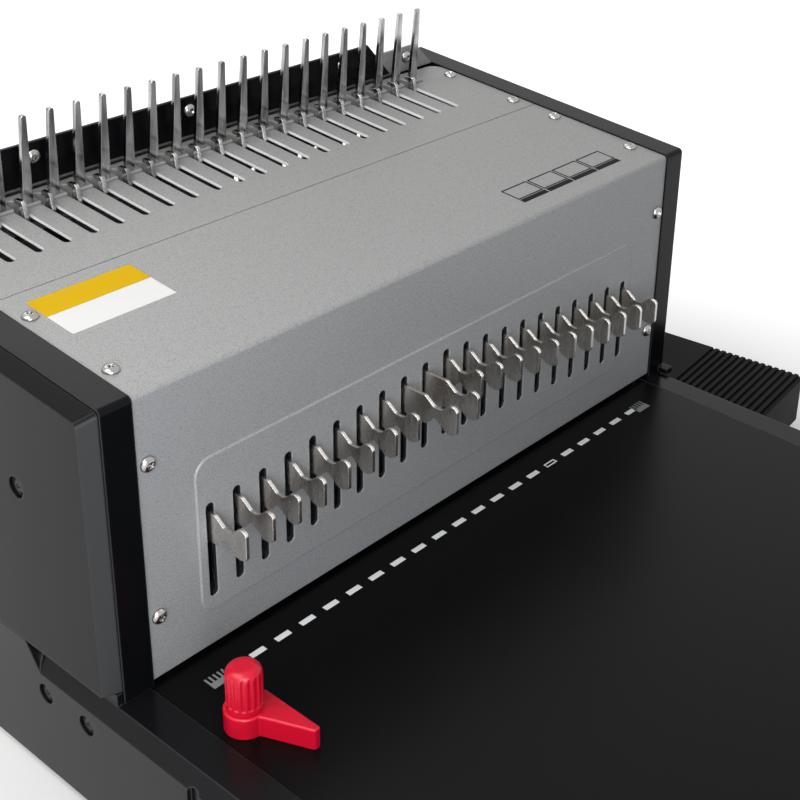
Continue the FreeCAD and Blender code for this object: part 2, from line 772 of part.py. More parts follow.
arm_end = opener_y + lever_length
half_lever = lever_width / 2.0
arm = prism([(opener_y, opener_z - half_lever, 0), (arm_end, opener_z - half_lever * 0.7, 0),
             (arm_end, opener_z + half_lever * 0.7, 0), (opener_y, opener_z + half_lever, 0)],
            "x", lever_x0, lever_x1)
hub = rod((lever_x0, opener_y, opener_z), (1, 0, 0), hub_radius, lever_thickness + 5.0)
shaft_bore = rod((lever_x0 - 1, opener_y, opener_z), (1, 0, 0), opener_shaft_radius,
                 shaft_end - lever_x0 + 1)
comb_lever = joined([arm, hub]).cut(shaft_bore)
write("comb_lever", at_rest(comb_lever))
grip_start = arm_end - grip_length
grip_middle = (lever_x0 + lever_x1) / 2.0
grip = prism(square(grip_start, arm_end + grip_width / 2.0, opener_z - grip_width / 2.0,
                    opener_z + grip_width / 2.0, grip_width * 0.46),
             "x", grip_middle - grip_thickness / 2.0, grip_middle + grip_thickness / 2.0)
grip_rims = [e for e in grip.Edges if abs(e.BoundBox.XMax - e.BoundBox.XMin) < 0.01]
grip = grip.makeFillet(3.0, grip_rims).cut(arm)
write("lever_grip", at_rest(grip))

# Rear cover: one sheet bent up behind the tines, back over the rear and down to the base
rear_points = [(upstand_y, deck_height + upstand_top, 0),
               (upstand_y + cover_sheet, deck_height + upstand_top, 0),
               (upstand_y + cover_sheet, deck_height + upstand_foot + cover_sheet, 0),
               (head_rear, deck_height + upstand_foot + cover_sheet, 3.0),
               (head_rear, deck_height + rear_cover_low, 0),
               (head_rear - cover_sheet, deck_height + rear_cover_low, 0),
               (head_rear - cover_sheet, deck_height + upstand_foot, 1.5),
               (upstand_y, deck_height + upstand_foot, 0)]
rear_cover = prism(rear_points, "x", -cover_half + 0.2, cover_half - 0.2)
ears = [block(x - ear_half, x + ear_half, upstand_y, upstand_y + cover_sheet,
              deck_height + upstand_top - 1, deck_height + ear_top) for x in backrest_screws]
rear_cover = joined([rear_cover] + ears)
upstand_top_z = deck_height + upstand_top
for side in (-1, 1):
    rear_cover = rear_cover.cut(prism([
        (side * cover_half, upstand_top_z - upstand_slant, 0), (side * cover_half, upstand_top_z + 1, 0),
        (side * (cover_half - upstand_slant - 1), upstand_top_z + 1, 0)],
        "y", upstand_y - 1, upstand_y + cover_sheet + 1))
inlet_z = deck_height + inlet_rise
rear_cover = rear_cover.cut(block(inlet_x - 14.4, inlet_x + 14.4, head_rear - 5, head_rear + 1,
                                  inlet_z - 24.4, inlet_z + 24.4))
vents = []
for k in range(9):
    x = 40.0 + k * 12.0
    vents.append(slot("y", x, deck_height + 60.0, deck_height + 110.0, 4.0, head_rear - 5, head_rear + 1))
rear_cover = rear_cover.cut(Part.makeCompound(vents))
for x in upstand_screws:
    rear_cover = rear_cover.cut(rod((x, upstand_y - 1, upstand_screw_z), (0, 1, 0), hole_radius, 5))
for x in backrest_screws:
    rear_cover = rear_cover.cut(rod((x, upstand_y - 1, deck_height + backrest_screw_z), (0, 1, 0),
                                    hole_radius, 5))
write("rear_cover", rear_cover)

# Comb backrest: the dark plate with slanted ends that stands behind the tines
rest_front = upstand_y - backrest_thickness
backrest_low_z = deck_height + backrest_low
backrest_top_z = deck_height + backrest_top
backrest = prism([(-backrest_half, backrest_low_z, 0), (backrest_half, backrest_low_z, 0),
                  (backrest_half - backrest_slant, backrest_top_z, 0),
                  (-backrest_half + backrest_slant, backrest_top_z, 0)], "y", rest_front, upstand_y)
for x in backrest_screws:
    backrest = backrest.cut(rod((x, rest_front - 1, deck_height + backrest_screw_z), (0, 1, 0),
                                hole_radius, 5))
write("comb_backrest", backrest)

# Die plate: the lower half of the punch, one rectangular hole for each blade
die_plate = block(-plate_inner, plate_inner, die_front, ram_rear + 1.0, deck_height - die_height, deck_height)
guide = block(-plate_inner, plate_inner, guide_front, guide_rear, throat_top, guide_top)
blade_holes = []
for i in range(hole_count):
    half = hole_width / 2.0 + blade_clearance
    blade_holes.append(block(hole_x(i) - half, hole_x(i) + half, blade_front - blade_clearance,
                             blade_rear + blade_clearance, deck_height - die_height - 1, guide_top + 1))
blade_holes = Part.makeCompound(blade_holes)
write("die_plate", die_plate.cut(blade_holes))
write("punch_guide", guide.cut(blade_holes))

# Depth stop: the strip between die and guide that the paper edge meets
stop_front = guide_rear - stop_depth
write("depth_stop", block(-plate_inner, plate_inner, stop_front, guide_rear, deck_height, throat_top))


# Punch blades: rectangular punches with a notched cutting end and a window for the pull tab
def punch_blade(i):
    x = hole_x(i)
    half = hole_width / 2.0
    tip = throat_top + tip_clearance + rise(i)
    top = tab_z(i) + tab_root / 2.0 + blade_over_tab
    points = [(x - half, tip, 0), (x, tip + tip_notch, 0), (x + half, tip, 0), (x + half, top, 0),
              (x - half, top, 0)]
    blade = prism(points, "y", blade_front, blade_rear)
    half_tab = tab_thickness / 2.0 + tab_clearance
    half_root = tab_root / 2.0 + tab_clearance
    return blade.cut(block(x - half_tab, x + half_tab, blade_front - 1, blade_rear + 1,
                           tab_z(i) - half_root, tab_z(i) + half_root))


write("punch_blades", [punch_blade(i) for i in range(hole_count) if i not in pulled_tabs])
write("idle_blades", [punch_blade(i) for i in pulled_tabs])

# Ram: the tent-shaped beam that drives every blade, with a groove for each blade and a slot for each tab
ram_low = tab_z(0) - ram_below_tab
ram_high = tab_z(0) + ram_above_tab
ram = prism([(-ram_half, ram_low, 0), (-row_half, ram_low, 0), (0, ram_low + row_stagger, 0),
             (row_half, ram_low, 0), (ram_half, ram_low, 0), (ram_half, ram_high, 0),
             (row_half, ram_high, 0), (0, ram_high + row_stagger, 0), (-row_half, ram_high, 0),
             (-ram_half, ram_high, 0)], "y", ram_front, ram_rear)
ram_tools = []
for i in range(hole_count):
    x = hole_x(i)
    half = hole_width / 2.0 + blade_clearance
    ram_tools.append(block(x - half, x + half, groove_front, groove_rear, ram_low - 1, ram_high + 30))
    half_tab = tab_thickness / 2.0 + tab_clearance
    half_root = tab_root / 2.0 + tab_clearance
    ram_tools.append(block(x - half_tab, x + half_tab, ram_front - 1, tab_inner + 0.3,
                           tab_z(i) - half_root, tab_z(i) + half_root))
ram = ram.cut(Part.makeCompound(ram_tools))
tongue_middle = (ram_front + ram_rear) / 2.0
tongues = []
for side in (-1, 1):
    near = side * ram_half
    far = side * (plate_inner + plate_thickness - 0.5)
    tongues.append(block(min(near, far), max(near, far), tongue_middle - tongue_width / 2.0,
                         tongue_middle + tongue_width / 2.0, ram_low, ram_high))
yoke_half = eccentric_radius + yoke_slack
window_half = eccentric_radius + crank_throw + 1.0
yoke_z = shaft_z + crank_throw
for side in (-1, 1):
    x0 = side * eccentric_x - yoke_width / 2.0
    yoke = prism(square(ram_rear, shaft_y + window_half + yoke_wall, yoke_z - yoke_half - yoke_wall,
                        yoke_z + yoke_half + yoke_wall, 8.0), "x", x0, x0 + yoke_width)
    tongues.append(yoke)
ram = joined([ram] + tongues)
for side in (-1, 1):
    x0 = side * eccentric_x - yoke_width / 2.0
    ram = ram.cut(prism(square(shaft_y - window_half, shaft_y + window_half, yoke_z - yoke_half,
                               yoke_z + yoke_half, 4.0), "x", x0 - 1, x0 + yoke_width + 1))
write("ram_beam", ram)


# Pull tabs: flat bow-tie plates; the shank pins a blade to the ram, the outer end is the finger grip
def pull_tab(i):
    x = hole_x(i)
    z = tab_z(i)
    half_root = tab_root / 2.0
    half_waist = tab_waist / 2.0
    out = tab_pull if i in pulled_tabs else 0.0
    profile = [(tab_inner, -half_root, 0.5), (tab_inner, half_root, 0.5),
               (-4.0 - out, half_root, 2.6), (-9.4 - out, half_waist + 0.4, 3.2),
               (-14.0 - out, half_waist + 0.4, 3.2), (-19.0 - out, half_root + 0.6, 2.6),
               (-tab_reach - out, half_root - 0.4, 2.2), (-tab_reach - out, -half_root + 1.4, 1.8),
               (-tab_reach + 3.4 - out, -half_root - 0.2, 2.2), (-tab_reach + 6.2 - out, -half_root, 2.0),
               (-10.6 - out, -half_waist + 0.3, 3.0), (-9.2 - out, -half_waist + 0.3, 0.8),
               (-5.2 - out, -half_root, 2.0)]
    if out:
        profile[0] = (tab_inner - out, -half_root, 0.5)
        profile[1] = (tab_inner - out, half_root, 0.5)
    points = [(y, z + v, r) for y, v, r in profile]
    return prism(points, "x", x - tab_thickness / 2.0, x + tab_thickness / 2.0)


for i in range(hole_count):
    write("pull_tab_%02d" % (i + 1), pull_tab(i))

# Eccentric shaft: the drive shaft with one eccentric disc inside each yoke of the ram
shaft_pieces = [rod((-plate_inner - plate_thickness - 2.0, shaft_y, shaft_z), (1, 0, 0), shaft_radius,
                    2.0 * (plate_inner + plate_thickness + 2.0))]
for side in (-1, 1):
    shaft_pieces.append(rod((side * eccentric_x - eccentric_width / 2.0, shaft_y, shaft_z + crank_throw),
                            (1, 0, 0), eccentric_radius, eccentric_width))
eccentric_shaft = joined(shaft_pieces)
write("eccentric_shaft", eccentric_shaft)

# Bushes: flanged sleeves in the frame plates for the drive shaft
bushes = []
for side in (-1, 1):
    sleeve = rod((side * (plate_inner - bush_flange), shaft_y, shaft_z), (side, 0, 0), bush_radius,
                 plate_thickness + bush_flange)
    collar = rod((side * (plate_inner - bush_flange), shaft_y, shaft_z), (side, 0, 0), bush_radius + 4.0,
                 bush_flange)
    bore = rod((side * (plate_inner - bush_flange - 1), shaft_y, shaft_z), (side, 0, 0),
               shaft_radius + bush_play, plate_thickness + bush_flange + 3)
    bushes.append(joined([sleeve, collar]).cut(bore))
write("shaft_bushes", bushes)

# Drive gear and motor pinion
to_motor = math.atan2(motor_z - shaft_z, motor_y - shaft_y)
drive_gear = spur_gear(gear_teeth, gear_radius, to_motor, gear_x - gear_width / 2.0, gear_width,
                       shaft_y, shaft_z)
drive_gear = drive_gear.cut(rod((gear_x - gear_width, shaft_y, shaft_z), (1, 0, 0), shaft_radius,
                                2 * gear_width))
for k in range(5):
    angle = 2.0 * math.pi * k / 5.0
    y = shaft_y + 0.6 * gear_radius * math.cos(angle)
    z = shaft_z + 0.6 * gear_radius * math.sin(angle)
    drive_gear = drive_gear.cut(rod((gear_x - gear_width, y, z), (1, 0, 0), 6.5, 2 * gear_width))
write("drive_gear", drive_gear)

pinion_phase = to_motor + math.pi + math.pi / pinion_teeth
motor_pinion = spur_gear(pinion_teeth, pinion_radius, pinion_phase, gear_x - gear_width / 2.0 - 1.0,
                         gear_width + 2.0, motor_y, motor_z)
stub_radius = 6.0
stub_start = gear_x - gear_width / 2.0 - 9.0
motor_pinion = joined([motor_pinion, rod((stub_start, motor_y, motor_z), (1, 0, 0), stub_radius, 12.0)])
write("motor_pinion", motor_pinion)

# Gear motor with its gearbox, standing on a welded saddle
gearbox_x1 = stub_start + 4.0
gearbox_x0 = gearbox_x1 - gearbox_length
motor_x0 = gearbox_x0 - motor_length
can = rod((motor_x0, motor_y, motor_z), (1, 0, 0), motor_radius, motor_length)
can_rims = [e for e in can.Edges if e.Closed and e.BoundBox.XMax < motor_x0 + 0.1]
can = can.makeFillet(3.0, can_rims)
tail = rod((motor_x0 - 5.0, motor_y, motor_z), (1, 0, 0), 9.0, 5.0)
gearbox = prism(square(motor_y - 27.0, motor_y + 27.0, motor_z - 27.0, motor_z + 27.0, 5.0), "x",
                gearbox_x0, gearbox_x1)
gearbox = gearbox.cut(rod((stub_start - 0.5, motor_y, motor_z), (1, 0, 0), stub_radius + bush_play, 10.0))
saddle = []
for x in (motor_x0 + 8.0, gearbox_x0 - 14.0):
    saddle.append(prism([(motor_y - 30.0, floor_top, 0), (motor_y + 30.0, floor_top, 0),
                         (motor_y + 22.0, motor_z - 6.0, 4.0), (motor_y - 22.0, motor_z - 6.0, 4.0)],
                        "x", x, x + 5.0))
saddle.append(block(motor_x0 + 8.0, gearbox_x0 - 9.0, motor_y - 34.0, motor_y + 34.0, floor_top,
                    floor_top + 3.0))
write("gear_motor", joined([can, tail, gearbox] + saddle))

# Chip tray: a drawer under the deck and the die, pulled out to the front
tray_front = base_front + tray_front_thickness
tray = block(-tray_half + tray_gap, tray_half - tray_gap, tray_front, tray_rear, tray_low, tray_high)
tray = tray.cut(block(-tray_half + tray_gap + tray_wall, tray_half - tray_gap - tray_wall,
                      tray_front + tray_wall, tray_rear - tray_wall, tray_low + tray_wall, tray_high + 1))
tray_face = block(-tray_half, tray_half, base_front, tray_front, tray_low,
                  tray_high + tray_front_margin - tray_gap)
finger_grip = prism(square(-24.0, 24.0, tray_high - 12.0, tray_high - 2.0, 4.9), "y",
                    base_front - 1, base_front + tray_front_thickness - 1.2)
write("chip_tray", joined([tray, tray_face]).cut(finger_grip))

# Control board on four pillars, behind the die
board_z = floor_top + 6.0
board_x = 80.0
board_y = 104.0
board = [block(board_x, board_x + 76.0, board_y, board_y + 70.0, board_z, board_z + 1.6)]
for x in (board_x + 5.0, board_x + 71.0):
    for y in (board_y + 5.0, board_y + 65.0):
        board.append(rod((x, y, floor_top), (0, 0, 1), 3.0, 6.2))
board.append(block(board_x + 12.0, board_x + 36.0, board_y + 10.0, board_y + 34.0, board_z + 1.4,
                   board_z + 21.0))
board.append(block(board_x + 44.0, board_x + 60.0, board_y + 8.0, board_y + 24.0, board_z + 1.4,
                   board_z + 15.0))
for y in (board_y + 34.0, board_y + 51.0):
    board.append(rod((board_x + 56.0, y, board_z + 1.4), (0, 0, 1), 6.5, 20.0))
board.append(block(board_x + 10.0, board_x + 40.0, board_y + 54.0, board_y + 63.0, board_z + 1.4,
                   board_z + 9.0))
write("control_board", joined(board))

# Paper stop: a moulded arm on a round hub, clamped by a fluted knob
tip_x = stop_x + stop_arm * math.cos(math.radians(stop_arm_angle))
tip_y = stop_y + stop_arm * math.sin(math.radians(stop_arm_angle))


def stop_blade():
    """Outline of the arm: a round hub, two straight sides that close in, and a round tip."""
    along = Vector(tip_x - stop_x, tip_y - stop_y, 0)
    along.normalize()
    across = Vector(-along.y, along.x, 0)
    z = Vector(0, 0, deck_height + 0.3)
    hub = Vector(stop_x, stop_y, 0) + z
    tip = Vector(tip_x, tip_y, 0) + z
    root = hub + along * math.sqrt(stop_radius ** 2 - stop_arm_half ** 2)
    left_root = root + across * stop_arm_half
    right_root = root - across * stop_arm_half
    left_tip = tip + across * stop_tip_radius
    right_tip = tip - across * stop_tip_radius
    edges = [
        Part.LineSegment(left_root, left_tip),
        Part.Arc(left_tip, tip + along * stop_tip_radius, right_tip),
        Part.LineSegment(right_tip, right_root),
        Part.Arc(right_root, hub - along * stop_radius, left_root),
    ]
    return Part.Wire([e.toShape() for e in edges])


paper_stop = Part.Face(stop_blade()).extrude(Vector(0, 0, stop_height - 0.3))
top_rim = [e for e in paper_stop.Edges if e.BoundBox.ZMin > deck_height + stop_height - 0.05]
paper_stop = paper_stop.makeFillet(1.0, top_rim)
stop_pin = rod((stop_x, stop_y, deck_height - deck_thickness - 2.0), (0, 0, 1), stop_pin_radius,
               deck_thickness + 4.0)
paper_stop = joined([paper_stop, stop_pin])
write("paper_stop", paper_stop)

knob_low = deck_height + stop_height + 0.3
knob_body = rod((stop_x, stop_y, knob_low), (0, 0, 1), knob_radius, knob_height - 0.3)
crown = [e for e in knob_body.Edges if e.BoundBox.ZMin > knob_low + knob_height - 0.6]
knob_body = knob_body.makeFillet(knob_radius * 0.55, crown)
flutes = []
for k in range(knob_flutes):
    angle = 2.0 * math.pi * k / knob_flutes
    reach = knob_radius + knob_flute_radius * 0.45
    flutes.append(rod((stop_x + reach * math.cos(angle), stop_y + reach * math.sin(angle), knob_low + 2.4),
                      (0, 0, 1), knob_flute_radius, knob_height))
write("stop_knob", knob_body.cut(Part.makeCompound(flutes)))

# Foot pedal: it stands loose beside the base, a little turned, and starts a punch stroke
pedal_rear = -pedal_smooth
pedal_front = pedal_length - pedal_smooth
tread_front = pedal_front - pedal_lip
tub_half = pedal_width / 2.0 - pedal_wall - pedal_play
pin_u = pedal_rear + pedal_pin_back
turn = math.radians(pedal_turn)
pedal_x = (base_right + pedal_gap + pedal_corner + (pedal_width / 2.0 - pedal_corner) * math.cos(turn)
           + (pedal_smooth - pedal_corner) * math.sin(turn))
pedal_y = pedal_far_y - math.sin(turn) * pedal_width / 2.0


def pedal_block(u0, u1, v0, v1, z0, z1):
    """Block in pedal axes: u from the first rib towards the operator, v across from the middle."""
    return block(v0, v1, -u1, -u0, z0, z1)


def on_desk(shape):
    """Turn a pedal piece and move it beside the base."""
    placed = shape.copy()
    placed.rotate(Vector(0, 0, 0), Vector(0, 0, 1), pedal_turn)
    placed.translate(Vector(pedal_x, pedal_y, 0))
    return placed


sole = prism(square(-pedal_width / 2.0, pedal_width / 2.0, -pedal_front, -pedal_rear, pedal_corner),
             "z", 0, pedal_sole)
tub_front = tread_front - pedal_wall - 3 * pedal_play
tub = pedal_block(pedal_rear + 3.0, tub_front, -tub_half, tub_half, pedal_sole - 1, pedal_tub_height)
tub_hollow = pedal_block(pedal_rear + 6.0, tub_front - pedal_wall, -tub_half + pedal_wall,
                         tub_half - pedal_wall, 3.0, pedal_tub_height + 1)
pedal_base = joined([sole, tub]).cut(tub_hollow)
for side in (-1, 1):
    low_v, high_v = sorted((side * tub_half, side * (tub_half - pedal_wall)))
    cheek = pedal_block(pin_u - 7.0, pin_u + 7.0, low_v, high_v, pedal_sole, pedal_pin_z)
    boss = rod((low_v, -pin_u, pedal_pin_z), (1, 0, 0), 6.0, pedal_wall)
    pedal_base = joined([pedal_base, cheek, boss])
switch_top = pedal_top - tread_thickness - 15.0
switch_body = pedal_block(pedal_front - 44.0, pedal_front - 24.0, -8.0, 8.0, 3.0, switch_top)
plunger = rod((0, -(pedal_front - 34.0), switch_top - 1.0), (0, 0, 1), 2.5, 6.0)
pin_bore = rod((-pedal_width, -pin_u, pedal_pin_z), (1, 0, 0), pedal_pin_radius, 2 * pedal_width)
pedal_base = joined([pedal_base, switch_body, plunger]).cut(pin_bore)
write("pedal_base", on_desk(pedal_base))

pin_length = pedal_width - 0.6
pedal_pin = rod((-pin_length / 2.0, -pin_u, pedal_pin_z), (1, 0, 0), pedal_pin_radius, pin_length)
write("pedal_pin", on_desk(pedal_pin))

tread_outline = square(-pedal_width / 2.0, pedal_width / 2.0, -tread_front, -pedal_rear, pedal_corner)
tread = prism(tread_outline, "z", pedal_skirt_low, pedal_top)
top_edges = [e for e in tread.Edges if e.BoundBox.ZMin > pedal_top - 0.1]
tread = tread.makeFillet(1.6, top_edges)
tread = tread.cut(pedal_block(pedal_rear - 1, tread_front - pedal_wall, -tub_half - pedal_play,
                              tub_half + pedal_play, pedal_skirt_low - 1, pedal_top - tread_thickness))
ribs = []
for k in range(rib_count):
    ribs.append(pedal_block(k * rib_pitch, k * rib_pitch + rib_gap, -pedal_width, pedal_width,
                            pedal_top - rib_depth, pedal_top + 1))
tread_bore = rod((-pedal_width, -pin_u, pedal_pin_z), (1, 0, 0), pedal_pin_radius + 0.1, 2 * pedal_width)
tread = tread.cut(Part.makeCompound(ribs)).cut(tread_bore)
write("pedal_tread", on_desk(tread))

# Mains inlet with the frame of the power switch, set in the rear cover
inlet_front = head_rear - cover_sheet
flange = prism(square(inlet_x - 17.0, inlet_x + 17.0, inlet_z - 27.0, inlet_z + 27.0, 3.0), "y",
               head_rear, head_rear + 2.0)
barrel = block(inlet_x - 14.0, inlet_x + 14.0, inlet_front - 20.0, head_rear + 1.0, inlet_z - 24.0,
               inlet_z + 24.0)
inlet = joined([flange, barrel])
socket_depth = 16.0
inlet = inlet.cut(prism([(inlet_x - 12.0, inlet_z - 20.0, 0), (inlet_x + 12.0, inlet_z - 20.0, 0),
                         (inlet_x + 12.0, inlet_z - 7.5, 0), (inlet_x + 8.0, inlet_z - 3.0, 0),
                         (inlet_x - 8.0, inlet_z - 3.0, 0), (inlet_x - 12.0, inlet_z - 7.5, 0)],
                        "y", head_rear + 2.0 - socket_depth, head_rear + 3.0))
pins = []
for x, z in ((inlet_x - 7.0, inlet_z - 15.0), (inlet_x + 7.0, inlet_z - 15.0), (inlet_x, inlet_z - 11.0)):
    pins.append(block(x - 1.0, x + 1.0, head_rear + 2.0 - socket_depth, head_rear - 1.0, z - 2.0, z + 2.0))
rocker_centre_z = inlet_z + 11.0
rocker_y = head_rear - 2.0
rocker_half = 9.0
rocker_pivot_radius = 1.3
pivot_half = 9.0
rocker_well = block(inlet_x - 7.4, inlet_x + 7.4, head_rear - 9.0, head_rear + 3.0,
                    rocker_centre_z - rocker_half - 1.0, rocker_centre_z + rocker_half + 1.0)
pivot_bore = rod((inlet_x - pivot_half, rocker_y, rocker_centre_z), (1, 0, 0), rocker_pivot_radius + bush_play,
                 2 * pivot_half)
inlet = inlet.cut(rocker_well).cut(pivot_bore)
write("power_inlet", [inlet] + pins)

rocker_tilt = 10.0
rocker = prism([(head_rear - 3.6, rocker_centre_z - rocker_half, 0.6),
                (head_rear + 3.2, rocker_centre_z - rocker_half, 0.6),
                (head_rear + 1.6, rocker_centre_z, 0), (head_rear + 3.2, rocker_centre_z + rocker_half, 0.6),
                (head_rear - 3.6, rocker_centre_z + rocker_half, 0.6),
                (head_rear - 6.0, rocker_centre_z, 0)], "x", inlet_x - 7.0, inlet_x + 7.0)
rocker.rotate(Vector(inlet_x, rocker_y, rocker_centre_z), Vector(1, 0, 0), rocker_tilt)
pivot = rod((inlet_x - pivot_half, rocker_y, rocker_centre_z), (1, 0, 0), rocker_pivot_radius, 2 * pivot_half)
write("power_switch", joined([rocker, pivot]))


# Screws: bright pan heads on the covers
def pan_screw(point, inward, length=screw_length):
    """Pan-head screw with its head seated on the surface at the point, shank along inward."""
    start = Vector(*point)
    direction = Vector(*inward)
    head = Part.makeCylinder(screw_head_radius, screw_head_height, start, direction * -1.0)
    far = start - direction * screw_head_height
    crown_edges = [e for e in head.Edges if e.Closed and (e.BoundBox.Center - far).Length < 0.05]
    head = head.makeFillet(screw_head_height * 0.8, crown_edges)
    shank = Part.makeCylinder(screw_shank_radius, length, start, direction)
    return head.fuse(shank).removeSplitter()


cover_screws = [pan_screw((x, 0, z), (0, 1, 0)) for x, z in front_screws]
for x, y in cover_top_screws + comb_panel_screws:
    cover_screws.append(pan_screw((x, y, roof(y)), (0, slope_sin, -slope_cos)))
for x in upstand_screws:
    cover_screws.append(pan_screw((x, upstand_y, upstand_screw_z), (0, 1, 0)))
for x in backrest_screws:
    cover_screws.append(pan_screw((x, rest_front, deck_height + backrest_screw_z), (0, 1, 0)))
write("cover_screws", cover_screws)

# Move everything into the part's own frame and write one file for each piece
whole = FreeCAD.BoundBox()
for shape in nodes.values():
    whole.add(shape.optimalBoundingBox(False, False))
frame_shift = Vector(-whole.Center.x, -whole.Center.y, -whole.ZMin)
os.makedirs("parts", exist_ok=True)
for name in sorted(nodes):
    nodes[name].translate(frame_shift)
    nodes[name].exportStep(os.path.join("parts", name + ".step"))
print(len(nodes), "pieces written")
print("stroke", round(stroke, 3), "hook travel", round(hook_travel, 3))
print("frame shift", tuple(round(v, 4) for v in frame_shift))
print("pedal pin", round(pedal_x + pin_u * math.sin(turn), 4), round(pedal_y - pin_u * math.cos(turn), 4))
print("opener axis", opener_y, round(opener_z, 4), "motor axis", round(motor_y, 4), motor_z)
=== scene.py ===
import math

import bmesh
import bpy
from mathutils import Matrix, Vector


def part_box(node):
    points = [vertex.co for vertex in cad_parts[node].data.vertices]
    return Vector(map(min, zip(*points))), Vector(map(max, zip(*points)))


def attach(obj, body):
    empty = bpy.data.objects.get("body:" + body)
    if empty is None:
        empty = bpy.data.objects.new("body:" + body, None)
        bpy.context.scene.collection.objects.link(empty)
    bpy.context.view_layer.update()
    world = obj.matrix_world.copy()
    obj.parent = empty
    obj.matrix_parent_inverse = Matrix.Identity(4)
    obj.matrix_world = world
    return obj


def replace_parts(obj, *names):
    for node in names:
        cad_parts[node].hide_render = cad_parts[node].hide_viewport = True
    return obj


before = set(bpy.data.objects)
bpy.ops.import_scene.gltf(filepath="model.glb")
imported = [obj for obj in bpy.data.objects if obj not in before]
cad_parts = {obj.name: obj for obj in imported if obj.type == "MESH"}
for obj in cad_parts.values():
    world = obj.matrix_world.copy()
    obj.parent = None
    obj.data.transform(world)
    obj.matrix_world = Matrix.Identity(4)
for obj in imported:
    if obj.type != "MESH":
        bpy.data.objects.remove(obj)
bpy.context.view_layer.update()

# Base pan and feet. A deep moulded tub in black plastic with a bevelled rim, finely grained and a little
# glossy, its edges lightened partly by wear and partly by a painted highlight. The rubber feet are
# pressed in from below.


def group_socket(group, name, side, kind="NodeSocketFloat"):
    """Add an input or output to a node group."""
    group.interface.new_socket(name=name, in_out=side, socket_type=kind)


def remap(tree, value, from_range=(0.0, 1.0), to_range=(0.0, 1.0)):
    """Map a value socket linearly from one range to another; returns the mapped socket."""
    node = tree.nodes.new("ShaderNodeMapRange")
    for name, limit in zip(("From Min", "From Max", "To Min", "To Max"), (*from_range, *to_range)):
        node.inputs[name].default_value = limit
    tree.links.new(value, node.inputs["Value"])
    return node.outputs["Result"]


moulded_grain = bpy.data.node_groups.new("moulded_grain", "ShaderNodeTree")
group_socket(moulded_grain, "Scale", "INPUT")
group_socket(moulded_grain, "Blotch Scale", "INPUT")
group_socket(moulded_grain, "Height", "OUTPUT")
group_socket(moulded_grain, "Blotch", "OUTPUT")
enter = moulded_grain.nodes.new("NodeGroupInput")
leave = moulded_grain.nodes.new("NodeGroupOutput")
where = moulded_grain.nodes.new("ShaderNodeTexCoord")
fine = moulded_grain.nodes.new("ShaderNodeTexNoise")
fine.inputs["Detail"].default_value = 4.0
fine.inputs["Roughness"].default_value = 0.6
broad = moulded_grain.nodes.new("ShaderNodeTexNoise")
broad.inputs["Detail"].default_value = 5.0
for noise, scale_name, result_name in ((fine, "Scale", "Height"), (broad, "Blotch Scale", "Blotch")):
    moulded_grain.links.new(where.outputs["Object"], noise.inputs["Vector"])
    moulded_grain.links.new(enter.outputs[scale_name], noise.inputs["Scale"])
    moulded_grain.links.new(noise.outputs["Fac"], leave.inputs[result_name])

# Edge mask: lightens the rounded edges of a finish, partly as wear and partly as a painted highlight.
edge_wear_highlight = bpy.data.node_groups.new("edge_wear_highlight", "ShaderNodeTree")
group_socket(edge_wear_highlight, "Radius", "INPUT")
group_socket(edge_wear_highlight, "Normal", "OUTPUT", kind="NodeSocketVector")
group_socket(edge_wear_highlight, "WearAndHighlight", "OUTPUT")
enter = edge_wear_highlight.nodes.new("NodeGroupInput")
leave = edge_wear_highlight.nodes.new("NodeGroupOutput")
rounded = edge_wear_highlight.nodes.new("ShaderNodeBevel")
rounded.samples = 4
flat = edge_wear_highlight.nodes.new("ShaderNodeNewGeometry")
agree = edge_wear_highlight.nodes.new("ShaderNodeVectorMath")
agree.operation = "DOT_PRODUCT"
edge_wear_highlight.links.new(enter.outputs["Radius"], rounded.inputs["Radius"])
edge_wear_highlight.links.new(rounded.outputs["Normal"], agree.inputs[0])
edge_wear_highlight.links.new(flat.outputs["Normal"], agree.inputs[1])
edge_wear_highlight.links.new(rounded.outputs["Normal"], leave.inputs["Normal"])
edge_wear_highlight.links.new(remap(edge_wear_highlight, agree.outputs["Value"], (0.985, 0.8)), leave.inputs["WearAndHighlight"])


def calculate(tree, operation, first, second=None):
    """Math node on sockets or plain numbers; returns its value socket."""
    node = tree.nodes.new("ShaderNodeMath")
    node.operation = operation
    for socket, value in ((node.inputs[0], first), (node.inputs[1], second)):
        if isinstance(value, bpy.types.NodeSocket):
            tree.links.new(value, socket)
        elif value is not None:
            socket.default_value = value
    return node.outputs["Value"]


def blend_colour(tree, factor, first, second, blend="MIX"):
    """Mix two colours, each a socket or plain values, by a factor socket or number."""
    mix = tree.nodes.new("ShaderNodeMix")
    mix.data_type = "RGBA"
    mix.blend_type = blend
    if isinstance(factor, bpy.types.NodeSocket):
        tree.links.new(factor, mix.inputs[0])
    else:
        mix.inputs[0].default_value = factor
    for socket, value in ((mix.inputs[6], first), (mix.inputs[7], second)):
        if isinstance(value, bpy.types.NodeSocket):
            tree.links.new(value, socket)
        else:
            socket.default_value = (*value, 1.0)
    return mix.outputs[2]


